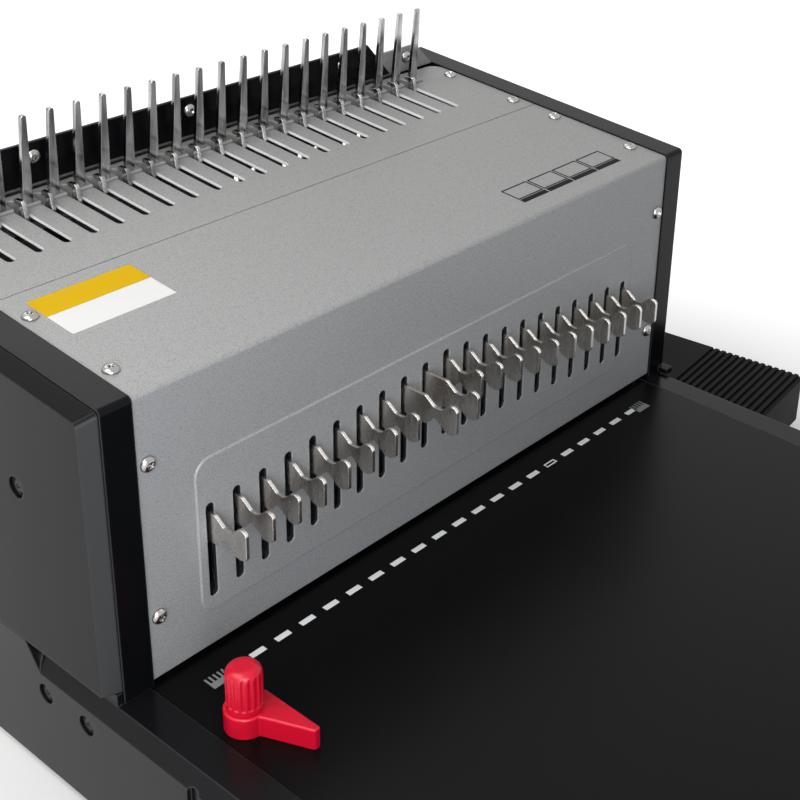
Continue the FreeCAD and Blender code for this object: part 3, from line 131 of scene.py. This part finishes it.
def new_finish(name, colour, roughness, metallic=0.0, grain=900.0, depth=0.00004, mottle=0.08,
               shine=0.05, edge=0.0004, wear_and_highlight=None, blotch=18.0, gleam=0.5):
    """Procedural finish: mottled colour, uneven gloss, fine grain and softened edges, lightened partly as
    wear and partly as a painted highlight.
    """
    material = bpy.data.materials.new(name)
    material.use_nodes = True
    tree = material.node_tree
    surface = tree.nodes["Principled BSDF"]
    surface.inputs["Metallic"].default_value = metallic
    surface.inputs["Specular IOR Level"].default_value = gleam
    texture = tree.nodes.new("ShaderNodeGroup")
    texture.node_tree = moulded_grain
    texture.inputs["Scale"].default_value = grain
    texture.inputs["Blotch Scale"].default_value = blotch
    edges = tree.nodes.new("ShaderNodeGroup")
    edges.node_tree = edge_wear_highlight
    edges.inputs["Radius"].default_value = edge
    darker = [c * (1.0 - mottle) for c in colour]
    lighter = [min(1.0, c * (1.0 + mottle)) for c in colour]
    tone = blend_colour(tree, texture.outputs["Blotch"], darker, lighter)
    # The edge colour is partly wear and partly a painted highlight along the rounded edges.
    if wear_and_highlight is not None:
        tone = blend_colour(tree, edges.outputs["WearAndHighlight"], tone, wear_and_highlight)
    tree.links.new(tone, surface.inputs["Base Color"])
    gloss = remap(tree, texture.outputs["Blotch"], (0.3, 0.7),
                  (max(0.02, roughness - shine), roughness + shine))
    tree.links.new(gloss, surface.inputs["Roughness"])
    bump = tree.nodes.new("ShaderNodeBump")
    bump.inputs["Strength"].default_value = 0.6
    bump.inputs["Distance"].default_value = depth
    tree.links.new(texture.outputs["Height"], bump.inputs["Height"])
    tree.links.new(edges.outputs["Normal"], bump.inputs["Normal"])
    tree.links.new(bump.outputs["Normal"], surface.inputs["Normal"])
    return material


def give(material, *names):
    """Put a finish on nodes of the frame, through their material slots."""
    for name in names:
        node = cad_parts[name]
        if not node.material_slots:
            node.data.materials.append(material)
        for slot in node.material_slots:
            slot.material = material


black_case = new_finish("black_case", (0.005, 0.0052, 0.006), 0.24, grain=1500.0, depth=0.00003,
                        mottle=0.12, edge=0.0009, wear_and_highlight=(0.06, 0.062, 0.067), gleam=0.18)
give(black_case, "base_pan")
foot_rubber = new_finish("foot_rubber", (0.018, 0.018, 0.018), 0.75, grain=700.0, depth=0.00008,
                         mottle=0.2)
give(foot_rubber, "feet")

# Screws in the left side. Black cross-recessed screws sit at the bottom of round sinkings, two in the
# base pan and two in the side cover, and hold both to the frame.
deck_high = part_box("deck_plate")[1]
cover_low, cover_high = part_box("front_cover")
row_middle = (cover_low.x + cover_high.x) / 2.0
pad_height = 0.0006
face_front = cover_low.y + pad_height


def on_machine(x, y, z):
    """Place in the frame of a point given in millimetres from the row's middle, the face and the deck."""
    return Vector((row_middle + x / 1000.0, face_front + y / 1000.0, deck_high.z + z / 1000.0))


def finished_mesh(name, build):
    """Turn a bmesh into a mesh and free it."""
    mesh = bpy.data.meshes.new(name)
    build.to_mesh(mesh)
    build.free()
    return mesh


def put_in_scene(name, data):
    """New object that holds a mesh, a lamp or a camera."""
    made = bpy.data.objects.new(name, data)
    bpy.context.scene.collection.objects.link(made)
    return made


def add_mesh(name, build, material, body):
    """Make a finished piece from a bmesh and let it ride on a body."""
    bmesh.ops.recalc_face_normals(build, faces=build.faces)
    mesh = finished_mesh(name, build)
    mesh.materials.append(material)
    piece = put_in_scene(name, mesh)
    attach(piece, body)
    return piece


def add_copy(build, mesh):
    """Add a mesh to a bmesh; returns the added vertices."""
    before = len(build.verts)
    build.from_mesh(mesh)
    build.verts.ensure_lookup_table()
    return build.verts[before:]


def screw_head_mesh(radius, height, shank):
    """Pan head with a cross recess, axis along +Z, seat at the origin; returns its mesh."""
    build = bmesh.new()
    profile = [(0.0, height), (radius * 0.45, height * 0.97), (radius * 0.8, height * 0.72),
               (radius * 0.96, height * 0.36), (radius, 0.0002), (radius * 0.98, 0.0)]
    if shank:
        shank_radius = 0.0018
        profile += [(shank_radius, 0.0), (shank_radius, -shank), (0.0, -shank)]
    else:
        profile += [(0.0, 0.0)]
    points = [build.verts.new((r, 0.0, z)) for r, z in profile]
    for start, end in zip(points, points[1:]):
        build.edges.new((start, end))
    bmesh.ops.spin(build, geom=build.verts[:] + build.edges[:], cent=(0, 0, 0), axis=(0, 0, 1),
                   angle=math.tau, steps=32, use_merge=True)
    bmesh.ops.remove_doubles(build, verts=build.verts, dist=1e-6)
    bmesh.ops.recalc_face_normals(build, faces=build.faces)
    head_mesh = finished_mesh("screw_head_plain", build)
    for face in head_mesh.polygons:
        face.use_smooth = True
    head = put_in_scene("screw_head_plain", head_mesh)
    cross = bmesh.new()
    for turn in (0.0, math.pi / 2.0):
        blade = bmesh.ops.create_cube(cross, size=1.0)["verts"]
        bmesh.ops.scale(cross, vec=(radius * 1.05, radius * 0.27, height * 0.9), verts=blade)
        bmesh.ops.scale(cross, vec=(0.35, 0.8, 1.0), verts=[v for v in blade if v.co.z < 0])
        bmesh.ops.rotate(cross, cent=(0, 0, 0), matrix=Matrix.Rotation(turn, 3, "Z"), verts=blade)
        bmesh.ops.translate(cross, vec=(0, 0, height * 0.85), verts=blade)
    cutter = put_in_scene("screw_cross", finished_mesh("screw_cross", cross))
    cut = head.modifiers.new("recess", "BOOLEAN")
    cut.operation = "DIFFERENCE"
    cut.solver = "EXACT"
    cut.use_self = True
    cut.object = cutter
    shaped = bpy.data.meshes.new_from_object(head.evaluated_get(bpy.context.evaluated_depsgraph_get()))
    bpy.data.objects.remove(head)
    bpy.data.objects.remove(cutter)
    return shaped


def screws_at(name, head_mesh, places, material, body):
    """One piece with a screw at each (place, outward direction, turn)."""
    build = bmesh.new()
    for place, outward, turn in places:
        fresh = add_copy(build, head_mesh)
        spin = outward.to_track_quat("Z", "Y").to_matrix() @ Matrix.Rotation(turn, 3, "Z")
        bmesh.ops.rotate(build, cent=(0, 0, 0), matrix=spin, verts=fresh)
        bmesh.ops.translate(build, vec=place, verts=fresh)
    return add_mesh(name, build, material, body)


black_screw = new_finish("black_screw", (0.03, 0.03, 0.032), 0.35, metallic=0.6, grain=3000.0)
sunk_head = screw_head_mesh(0.0036, 0.0014, 0.0)
side_plane = -199.0
sinking_depth = 2.2
left_out = Vector((-1, 0, 0))
sunk = [(on_machine(side_plane + sinking_depth, y, z), left_out, 0.4 + 0.7 * k)
        for k, (y, z) in enumerate([(44, -16.2), (16, -16.2), (48, 85), (150, 85)])]
screws_at("side_screw_heads", sunk_head, sunk, black_screw, "chassis")

# Deck plate. Sheet steel in gloss black enamel, with light grey printed dashes, one for each punch and
# one of them hollow, and a small comb sign at each end of the row.
gloss_enamel = new_finish("gloss_enamel", (0.0015, 0.0015, 0.0018), 0.30, grain=2500.0, depth=0.000006,
                          mottle=0.15, shine=0.04, edge=0.0002, blotch=9.0, gleam=0.11)
give(gloss_enamel, "deck_plate")
print_grey = new_finish("print_grey", (0.86, 0.87, 0.88), 0.5, grain=2600.0, depth=0.00001, mottle=0.06)


def flat_print(build, x0, x1, y0, y1, rise=0.0, height=0.0):
    """Add one printed bar to a bmesh lying on the deck, or on a slope of it, sizes in millimetres."""
    corners = []
    for x, y in ((x0, y0), (x1, y0), (x1, y1), (x0, y1)):
        corners.append(build.verts.new(on_machine(x, y, height + rise * y)))
    build.faces.new(corners)


def printed_frame(build, x0, x1, y0, y1, line, rise=0.0, height=0.0):
    """Add a printed rectangle drawn in a line of the given width."""
    flat_print(build, x0, x1, y0, y0 + line, rise, height)
    flat_print(build, x0, x1, y1 - line, y1, rise, height)
    flat_print(build, x0, x0 + line, y0 + line, y1 - line, rise, height)
    flat_print(build, x1 - line, x1, y0 + line, y1 - line, rise, height)


def thicken(build, height):
    """Raise flat faces to a solid of the given height."""
    raised = bmesh.ops.extrude_face_region(build, geom=build.faces[:])["geom"]
    tops = [v for v in raised if isinstance(v, bmesh.types.BMVert)]
    bmesh.ops.translate(build, vec=(0, 0, height), verts=tops)


hole_count = 21
hole_pitch = 14.2875


def hole_x(k):
    """Distance in millimetres of a punch hole from the row's middle."""
    return (k - hole_count // 2) * hole_pitch


print_shift = -5.3
print_line = 0.8
ink = 0.00005
hollow_dash = 15
dash_half, dash_front, dash_back = 4.0, -17.4, -14.4
dashes = bmesh.new()
for k in range(hole_count):
    x = hole_x(k) + print_shift
    if k == hollow_dash:
        printed_frame(dashes, x - dash_half, x + dash_half, dash_front, dash_back, print_line)
    else:
        flat_print(dashes, x - dash_half, x + dash_half, dash_front, dash_back)
thicken(dashes, ink)
add_mesh("deck_dashes", dashes, print_grey, "chassis")
sign_distance, sign_half = 150.6, 5.0
sign_front, sign_spine, sign_back = -20.2, -16.6, -12.8
tooth_step, tooth_half = 2.2, 0.5
signs = bmesh.new()
for side in (-1, 1):
    middle = side * sign_distance + print_shift
    flat_print(signs, middle - sign_half, middle + sign_half, sign_front, sign_spine)
    for tooth in range(-2, 3):
        x = middle + tooth * tooth_step
        flat_print(signs, x - tooth_half, x + tooth_half, sign_spine, sign_back)
thicken(signs, ink)
print_dim = new_finish("print_dim", (0.22, 0.225, 0.23), 0.5, grain=2600.0, depth=0.00001, mottle=0.08)
add_mesh("deck_end_signs", signs, print_dim, "chassis")

# Frame plates, die, guide and stop strip. Zinc-plated side plates and ground tool steel, unpainted
# inside the head, bolted and pinned together.


def new_metal(name, colour, roughness, stretch=(1.0, 1.0, 1.0), lines=700.0, edge=0.0003, wear_and_highlight=None,
              streaks=0.0):
    """Bare metal with fine drawn or ground lines, running along the axes with a small stretch value."""
    material = new_finish(name, colour, roughness, metallic=1.0, grain=lines, depth=0.00001,
                          mottle=0.10, shine=0.06, edge=edge, wear_and_highlight=wear_and_highlight, blotch=60.0)
    tree = material.node_tree
    surface = tree.nodes["Principled BSDF"]
    squeeze = tree.nodes.new("ShaderNodeMapping")
    squeeze.inputs["Scale"].default_value = stretch
    streak = tree.nodes.new("ShaderNodeTexNoise")
    streak.inputs["Scale"].default_value = lines
    streak.inputs["Detail"].default_value = 3.0
    tree.links.new(tree.nodes.new("ShaderNodeTexCoord").outputs["Object"], squeeze.inputs["Vector"])
    tree.links.new(squeeze.outputs["Vector"], streak.inputs["Vector"])
    gloss = remap(tree, streak.outputs["Fac"],
                  to_range=(max(0.03, roughness - 0.10), roughness + 0.10))
    tree.links.new(gloss, surface.inputs["Roughness"])
    if streaks:
        contrast = remap(tree, streak.outputs["Fac"], (0.35, 0.65))
        drawn = blend_colour(tree, contrast, (1.0 - streaks,) * 3, (1.0 + streaks,) * 3)
        plain = surface.inputs["Base Color"].links[0].from_socket
        tree.links.new(blend_colour(tree, 1.0, plain, drawn, "MULTIPLY"), surface.inputs["Base Color"])
    return material


zinc = new_metal("zinc_plate", (0.50, 0.52, 0.54), 0.38, stretch=(1.0, 0.1, 1.0))
give(zinc, "left_frame_plate", "right_frame_plate")
ground_steel = new_metal("ground_steel", (0.36, 0.36, 0.37), 0.32, stretch=(0.08, 1.0, 1.0))
give(ground_steel, "die_plate", "punch_guide", "depth_stop", "idle_blades", "punch_blades", "ram_beam")

# Drive. Turned shaft with its eccentric discs, bronze bushes pressed into the frame plates, cut gears,
# and a grey-painted gear motor with a lacquered board.
turned_steel = new_metal("turned_steel", (0.52, 0.52, 0.53), 0.25, stretch=(1.0, 0.15, 0.15))
give(turned_steel, "eccentric_shaft", "opener_shaft")
gear_steel = new_metal("gear_steel", (0.33, 0.33, 0.34), 0.36)
give(gear_steel, "drive_gear", "motor_pinion")
bronze = new_metal("bronze_bush", (0.50, 0.33, 0.14), 0.34)
give(bronze, "shaft_bushes")
motor_paint = new_finish("motor_paint", (0.16, 0.17, 0.18), 0.42, metallic=0.2, grain=1200.0,
                         wear_and_highlight=(0.4, 0.4, 0.4))
give(motor_paint, "gear_motor")
board_lacquer = new_finish("board_lacquer", (0.02, 0.16, 0.06), 0.3, mottle=0.3, blotch=180.0)
give(board_lacquer, "control_board")

# Pull tabs. Stamped steel in satin nickel plate, warm grey, with rounded edges lightened to near white,
# partly by wear and partly by a painted highlight.
nickel = new_metal("satin_nickel", (0.68, 0.65, 0.61), 0.27, stretch=(1.0, 1.0, 0.25), lines=300.0,
                   edge=0.0005, wear_and_highlight=(1.0, 0.98, 0.95), streaks=0.06)
give(nickel, *[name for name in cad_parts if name.startswith("pull_tab_")])

# Front cover, comb panel and rear cover. Bent steel sheet in silver paint with a fine metallic sparkle,
# its edges lightened partly by wear and partly by a painted highlight; the punched walls of the slots are
# painted dark in the face, as painted shade, and painted near white on the top, as painted light.


def inside_box(tree, low, high):
    """Factor that is 1 between two corners in the frame and 0 outside them."""
    spread = tree.nodes.new("ShaderNodeSeparateXYZ")
    tree.links.new(tree.nodes.new("ShaderNodeTexCoord").outputs["Object"], spread.inputs["Vector"])
    inside = 1.0
    for axis in range(3):
        for limit, operation in ((low[axis], "GREATER_THAN"), (high[axis], "LESS_THAN")):
            test = calculate(tree, operation, spread.outputs[axis], limit)
            inside = calculate(tree, "MULTIPLY", inside, test)
    return inside


def facing(tree, direction):
    """How far the surface faces a direction in the frame, from -1 to 1."""
    node = tree.nodes.new("ShaderNodeVectorMath")
    node.operation = "DOT_PRODUCT"
    node.inputs[1].default_value = direction
    tree.links.new(tree.nodes.new("ShaderNodeTexCoord").outputs["Normal"], node.inputs[0])
    return node.outputs["Value"]


def silver_sheet(name, across, low, high, wall_colour):
    """Silver paint; between two corners the walls of holes, square to the sheet, take the given wall
    colour: painted shade in the face, painted light on the top.
    """
    material = new_finish(name, (0.36, 0.36, 0.36), 0.42, metallic=0.12, grain=1500.0, depth=0.00003,
                          mottle=0.03, shine=0.04, edge=0.0005, blotch=7.0, gleam=0.2,
                          wear_and_highlight=(0.56, 0.56, 0.57))
    tree = material.node_tree
    base_colour = tree.nodes["Principled BSDF"].inputs["Base Color"]
    flakes = tree.nodes.new("ShaderNodeTexVoronoi")
    flakes.inputs["Scale"].default_value = 1700.0
    tree.links.new(tree.nodes.new("ShaderNodeTexCoord").outputs["Object"], flakes.inputs["Vector"])
    sparkle = remap(tree, flakes.outputs["Distance"], (0.1, 0.9))
    bright = blend_colour(tree, sparkle, (1.22, 1.22, 1.22), (0.80, 0.80, 0.80))
    flecked = blend_colour(tree, 1.0, base_colour.links[0].from_socket, bright, "MULTIPLY")
    wall = calculate(tree, "LESS_THAN", calculate(tree, "ABSOLUTE", facing(tree, across)), 0.6)
    hole_walls = calculate(tree, "MULTIPLY", inside_box(tree, low, high), wall)
    tree.links.new(blend_colour(tree, hole_walls, flecked, wall_colour), base_colour)
    return material


# Painted shade: the slot walls behind the face's front take a dark colour for the shade inside the slots.
give(silver_sheet("silver_face", (0, 1, 0), on_machine(-148, 0.0, 24), on_machine(148, 1.6, 92),
                  (0.03, 0.03, 0.032)), "front_cover")
# Painted light: the slot walls in the top take a near-white colour, as if lit by the lamp.
give(silver_sheet("silver_top", (0, -0.0785, 0.9969), on_machine(-160, 110, 130),
                  on_machine(148, 166, 150), (0.95, 0.95, 0.95)), "comb_panel")
give(silver_sheet("silver_rear", (0, 1, 0), on_machine(-170, 170, 160), on_machine(170, 174, 162),
                  (0.30, 0.30, 0.31)), "rear_cover")

# Cover screws. Bright nickel-plated pan heads with a cross recess hold the sheets to the frame, on the
# face, along both sides of the top, and on the upstand behind the tines.
bright_screw = new_metal("bright_screw", (0.40, 0.395, 0.38), 0.18, edge=0.0002)
pan_head = screw_head_mesh(0.0036, 0.0022, 0.005)
slope = math.radians(4.5)
roof_rise = math.tan(slope)
roof_height = 135.0
front_out = Vector((0, -1, 0))
top_out = Vector((0, -math.sin(slope), math.cos(slope)))
cover_screws = [(on_machine(x, 0, z), front_out) for x in (-171, 171) for z in (32, 104)]
cover_screws += [(on_machine(x, y, roof_height + roof_rise * y), top_out)
                 for x in (-170, 170) for y in (20, 72, 102, 150)]
cover_screws += [(on_machine(x, 171.0, 157.0), front_out) for x in (-154, 154)]
cover_screws += [(on_machine(x, 169.4, 163.8), front_out) for x in (-100, -8, 100)]
turned_screws = [(place, out, 0.9 * k) for k, (place, out) in enumerate(cover_screws)]
heads = screws_at("cover_screw_heads", pan_head, turned_screws, bright_screw, "chassis")
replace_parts(heads, "cover_screws")

# Binding tines. Tapered steel fingers with round tips, polished, standing square to the sloping top and
# tacked into the bar. The comb hooks below them are of the same steel.


def round_edges(build, edges, radius, segments):
    """Round edges of a bmesh."""
    bmesh.ops.bevel(build, geom=edges, offset=radius, offset_type="OFFSET", affect="EDGES",
                    segments=segments, profile=0.5, material=-1)


tine_steel = new_metal("tine_steel", (0.38, 0.38, 0.38), 0.16, stretch=(1.0, 1.0, 0.10), lines=300.0,
                       edge=0.0005, wear_and_highlight=(0.85, 0.85, 0.85), streaks=0.5)
give(tine_steel, "hook_bar")
tine_low, tine_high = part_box("binding_tines")
tine_height = (tine_high.z - tine_low.z) * 0.94
tine_width, tine_thickness, tine_taper, tip_radius = 0.0054, 0.0022, 0.48, 0.0011
finger = bmesh.new()
bmesh.ops.create_cube(finger, size=1.0)
bmesh.ops.scale(finger, vec=(tine_width, tine_thickness, tine_height), verts=finger.verts)
bmesh.ops.translate(finger, vec=(0, 0, tine_height / 2.0), verts=finger.verts)
tip = [v for v in finger.verts if v.co.z > tine_height / 2.0]
bmesh.ops.scale(finger, vec=(tine_taper, 1.0, 1.0), verts=tip)
tip_edges = [e for e in finger.edges if e.verts[0] in tip and e.verts[1] in tip
             and abs(e.verts[0].co.x - e.verts[1].co.x) < 1e-6]
round_edges(finger, tip_edges, tip_radius, 5)
bmesh.ops.rotate(finger, cent=(0, 0, 0), matrix=Matrix.Rotation(slope, 3, "X"), verts=finger.verts)
finger_mesh = finished_mesh("tine_finger", finger)
tines = bmesh.new()
for k in range(hole_count):
    foot = Vector((on_machine(hole_x(k), 0, 0).x, (tine_low.y + tine_high.y) / 2.0, tine_low.z))
    bmesh.ops.translate(tines, vec=foot, verts=add_copy(tines, finger_mesh))
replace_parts(add_mesh("polished_tines", tines, tine_steel, "chassis"), "binding_tines")

# Tine bar. A dull zinc-plated rail behind the comb panel, blotched by the plating, screwed to the
# frame plates at its ends.
bar_zinc = new_finish("bar_zinc", (0.34, 0.34, 0.33), 0.45, metallic=0.4, grain=700.0, mottle=0.35,
                      edge=0.0005, wear_and_highlight=(0.62, 0.62, 0.62), blotch=160.0)
give(bar_zinc, "tine_bar")

# Comb lever. Flat arm, nickel-plated like the screws, fixed on the end of the opener shaft, with a
# moulded grip of black rubber pushed over it.
give(bright_screw, "comb_lever")
give(foot_rubber, "lever_grip")

# Cheeks and backrest. The same black plastic as the base, moulded smoother and shinier, with edges
# lightened a little, partly by wear and partly by a painted highlight.
black_cheek = new_finish("black_cheek", (0.004, 0.0042, 0.005), 0.20, grain=1700.0, depth=0.00002,
                         mottle=0.12, edge=0.0010, wear_and_highlight=(0.065, 0.067, 0.072), gleam=0.095)
give(black_cheek, "left_end_cap", "right_end_cap", "comb_backrest")

# Side cover. A plate of the cheeks' plastic over the left cheek, held by two sunk screws; its front
# bevel, which faces the low lamp at the front left, carries painted light in a lighter grey.
lit_bevel_cheek = black_cheek.copy()
lit_bevel_cheek.name = "lit_bevel_cheek"
lit_bevel_tree = lit_bevel_cheek.node_tree
lit_bevel_colour = lit_bevel_tree.nodes["Principled BSDF"].inputs["Base Color"]
# Painted light: faces turned to the front left, toward the low lamp, take a lighter grey.
painted_light_mask = remap(lit_bevel_tree, facing(lit_bevel_tree, (-0.7071, -0.7071, 0.0)), (0.85, 0.92))
lit_bevel_tree.links.new(blend_colour(lit_bevel_tree, painted_light_mask, lit_bevel_colour.links[0].from_socket,
                                   (0.055, 0.056, 0.057)), lit_bevel_colour)
give(lit_bevel_cheek, "left_side_cover")

# Mains inlet and power switch. A black moulded inlet clipped into the rear cover, and a rocker in red
# plastic above it.
inlet_plastic = new_finish("inlet_plastic", (0.012, 0.012, 0.013), 0.42, grain=1500.0)
give(inlet_plastic, "power_inlet")
red_rocker = new_finish("red_rocker", (0.45, 0.006, 0.012), 0.28, grain=1500.0, mottle=0.08, edge=0.0006)
give(red_rocker, "power_switch")

# Blank plates on the top sheet. Thin printed film, stuck on: one in two tones at the left, and a row of
# four framed fields with a dark foot at the right.
plate_white = new_finish("plate_white", (0.86, 0.86, 0.85), 0.45, grain=1800.0, depth=0.000005,
                         mottle=0.03, gleam=0.15)
plate_yellow = new_finish("plate_yellow", (0.76, 0.47, 0.002), 0.5, grain=1800.0, depth=0.000005,
                          mottle=0.04, gleam=0.05)
plate_dark = new_finish("plate_dark", (0.003, 0.003, 0.003), 0.5, grain=1800.0, depth=0.000005,
                        mottle=0.1, gleam=0.06)
plate_film, field_film = 0.00012, 0.00008
plate_left, plate_right = -165.0, -113.5
for name, material, span in (("plate_lower", plate_white, (50.5, 67.6)),
                             ("plate_upper", plate_yellow, (67.6, 82.5))):
    plate = bmesh.new()
    flat_print(plate, plate_left, plate_right, span[0], span[1], roof_rise, roof_height)
    thicken(plate, plate_film)
    add_mesh(name, plate, material, "chassis")
field_left, field_step, field_width = 71.0, 20.4, 19.4
field_front, field_back = 16.4, 28.2
field_foot_front, field_foot_back = 12.6, 15.9
fields = bmesh.new()
for k in range(4):
    x = field_left + k * field_step
    printed_frame(fields, x, x + field_width, field_front, field_back, print_line, roof_rise,
                  roof_height)
    flat_print(fields, x, x + field_width, field_foot_front, field_foot_back, roof_rise, roof_height)
thicken(fields, field_film)
add_mesh("plate_fields", fields, plate_dark, "chassis")

# Stop arm and its knob. Moulded in red plastic with a soft gloss: the arm leaves the round hub with one
# straight side, which is its stopping face, and one slanted side. The fluted knob clamps it.
stop_red = new_finish("stop_red", (0.60, 0.003, 0.024), 0.28, grain=1300.0, depth=0.00002, mottle=0.06,
                      edge=0.0006, wear_and_highlight=(0.72, 0.03, 0.06), gleam=0.4)
give(stop_red, "stop_knob")
arm_gap = 0.3
arm_height, arm_corner_radius, arm_rim_radius = 0.0097, 0.0011, 0.0009
hub = on_machine(-166, -45, arm_gap)
hub_radius = 0.0088
straight_side_angle, hub_turn = 0.873, 3.761
arm_corners = ((-157.4, -75.4), (-154.1, -75.4), (-154.1, -43.5))
arm = bmesh.new()
first = arm.verts.new(hub + hub_radius * Vector((math.cos(straight_side_angle),
                                                 math.sin(straight_side_angle), 0)))
turned = bmesh.ops.spin(arm, geom=[first], cent=hub, axis=(0, 0, 1), angle=hub_turn, steps=40,
                        use_merge=False)
last = [v for v in turned["geom_last"] if isinstance(v, bmesh.types.BMVert)][0]
corners = [arm.verts.new(on_machine(x, y, arm_gap)) for x, y in arm_corners]
for start, end in zip([last] + corners, corners + [first]):
    arm.edges.new((start, end))
bmesh.ops.edgeloop_fill(arm, edges=arm.edges[:])
thicken(arm, arm_height)
upright = [e for e in arm.edges if abs(e.verts[0].co.z - e.verts[1].co.z) > arm_height / 2.0
           and any((e.verts[0].co.xy - corner.co.xy).length < 1e-6 for corner in corners)]
round_edges(arm, upright, arm_corner_radius, 4)
rim = [e for e in arm.edges if min(v.co.z for v in e.verts) > hub.z + arm_height - 0.0001]
round_edges(arm, rim, arm_rim_radius, 4)
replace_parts(add_mesh("stop_arm_square", arm, stop_red, "stop_arm"), "paper_stop")

# Chip drawer and foot pedal. Black moulded plastic; the pedal is duller than the drawer, and its tread
# tips on a steel pin.
give(black_case, "chip_tray")
pedal_plastic = new_finish("pedal_plastic", (0.004, 0.0042, 0.005), 0.5, grain=1100.0, depth=0.00004,
                           mottle=0.15, edge=0.0006, wear_and_highlight=(0.012, 0.012, 0.013), gleam=0.06)
give(pedal_plastic, "pedal_base", "pedal_tread")
give(turned_steel, "pedal_pin")

# Floor and light. A pale table with a painted glow, for direct and reflected rays only, that grows with
# distance from a point near the machine's front left, so it fades into a white room; one large soft lamp
# above, a low one at the left for the side and the face, and a weak one behind.
table_build = bmesh.new()
bmesh.ops.create_grid(table_build, x_segments=1, y_segments=1, size=6.0)
table_mesh = finished_mesh("table", table_build)
table_top = put_in_scene("table", table_mesh)


def seen_directly(tree):
    """Factor that is 1 for rays from the camera and for reflected or refracted rays, and 0 otherwise."""
    path = tree.nodes.new("ShaderNodeLightPath")
    either = calculate(tree, "MAXIMUM", path.outputs["Is Camera Ray"], path.outputs["Is Glossy Ray"])
    return calculate(tree, "MAXIMUM", either, path.outputs["Is Transmission Ray"])


pale = bpy.data.materials.new("pale_table")
pale.use_nodes = True
pale_tree = pale.node_tree
pale_surface = pale_tree.nodes["Principled BSDF"]
pale_surface.inputs["Base Color"].default_value = (0.72, 0.72, 0.72, 1.0)
pale_surface.inputs["Roughness"].default_value = 0.8
pale_surface.inputs["Emission Strength"].default_value = 1.0
# Painted glow: none near the point at the machine's front left, rising to strong far away, seen only by
# direct and reflected rays.
far = pale_tree.nodes.new("ShaderNodeVectorMath")
far.operation = "DISTANCE"
far.inputs[1].default_value = (-0.08, -0.14, 0.0)
pale_tree.links.new(pale_tree.nodes.new("ShaderNodeTexCoord").outputs["Object"], far.inputs[0])
lift = remap(pale_tree, far.outputs["Value"], (0.2, 0.6), (0.0, 0.85))
shown = calculate(pale_tree, "MULTIPLY", lift, seen_directly(pale_tree))
glow = blend_colour(pale_tree, shown, (0.0, 0.0, 0.0), (1.0, 1.0, 1.0))
pale_tree.links.new(glow, pale_surface.inputs["Emission Color"])
table_mesh.materials.append(pale)

room = bpy.data.worlds.new("white_room")
room.use_nodes = True
bpy.context.scene.world = room
room_tree = room.node_tree
dim = room_tree.nodes["Background"]
dim.inputs["Color"].default_value = (0.9, 0.93, 1.0, 1.0)
dim.inputs["Strength"].default_value = 0.12
bright = room_tree.nodes.new("ShaderNodeBackground")
bright.inputs["Color"].default_value = (1.0, 1.0, 1.0, 1.0)
bright.inputs["Strength"].default_value = 1.0
choose = room_tree.nodes.new("ShaderNodeMixShader")
room_tree.links.new(seen_directly(room_tree), choose.inputs["Fac"])
room_tree.links.new(dim.outputs["Background"], choose.inputs[1])
room_tree.links.new(bright.outputs["Background"], choose.inputs[2])
room_tree.links.new(choose.outputs["Shader"], room_tree.nodes["World Output"].inputs["Surface"])

lamp_aim = Vector((0, 0, 0.1))
for name, place, size, power, tint in (("top", (-0.85, 0.08, 1.25), 1.0, 14.0, (1.0, 0.965, 0.92)),
                                       ("left", (-0.50, -0.41, 0.36), 0.4, 3.0, (0.90, 0.95, 1.0)),
                                       ("rear", (0.3, 1.2, 1.2), 1.0, 4.0, (1.0, 1.0, 1.0))):
    lamp = bpy.data.lights.new(name, "AREA")
    lamp.shape = "SQUARE"
    lamp.size = size
    lamp.energy = power
    lamp.color = tint
    holder = put_in_scene(name, lamp)
    holder.location = place
    holder.rotation_euler = (lamp_aim - Vector(place)).to_track_quat("-Z", "Y").to_euler()

# Camera. It stands in front of the machine, to its left, and looks down over the deck, with a long
# lens and a small shift that crops the view.
lens = bpy.data.cameras.new("photo_view")
lens.sensor_width = 36.0
lens.sensor_height = 36.0
lens.sensor_fit = "HORIZONTAL"
lens.lens = 66.179
lens.shift_x = -0.09375
lens.shift_y = -0.16875
lens.clip_start = 0.01
viewer = put_in_scene("photo_view", lens)
viewer.location = on_machine(-455.1, -397.1, 414.0)
viewer.rotation_euler = (1.131762, -0.029718, -0.859936)
bpy.context.scene.camera = viewer

bpy.context.scene.view_settings.view_transform = "Standard"
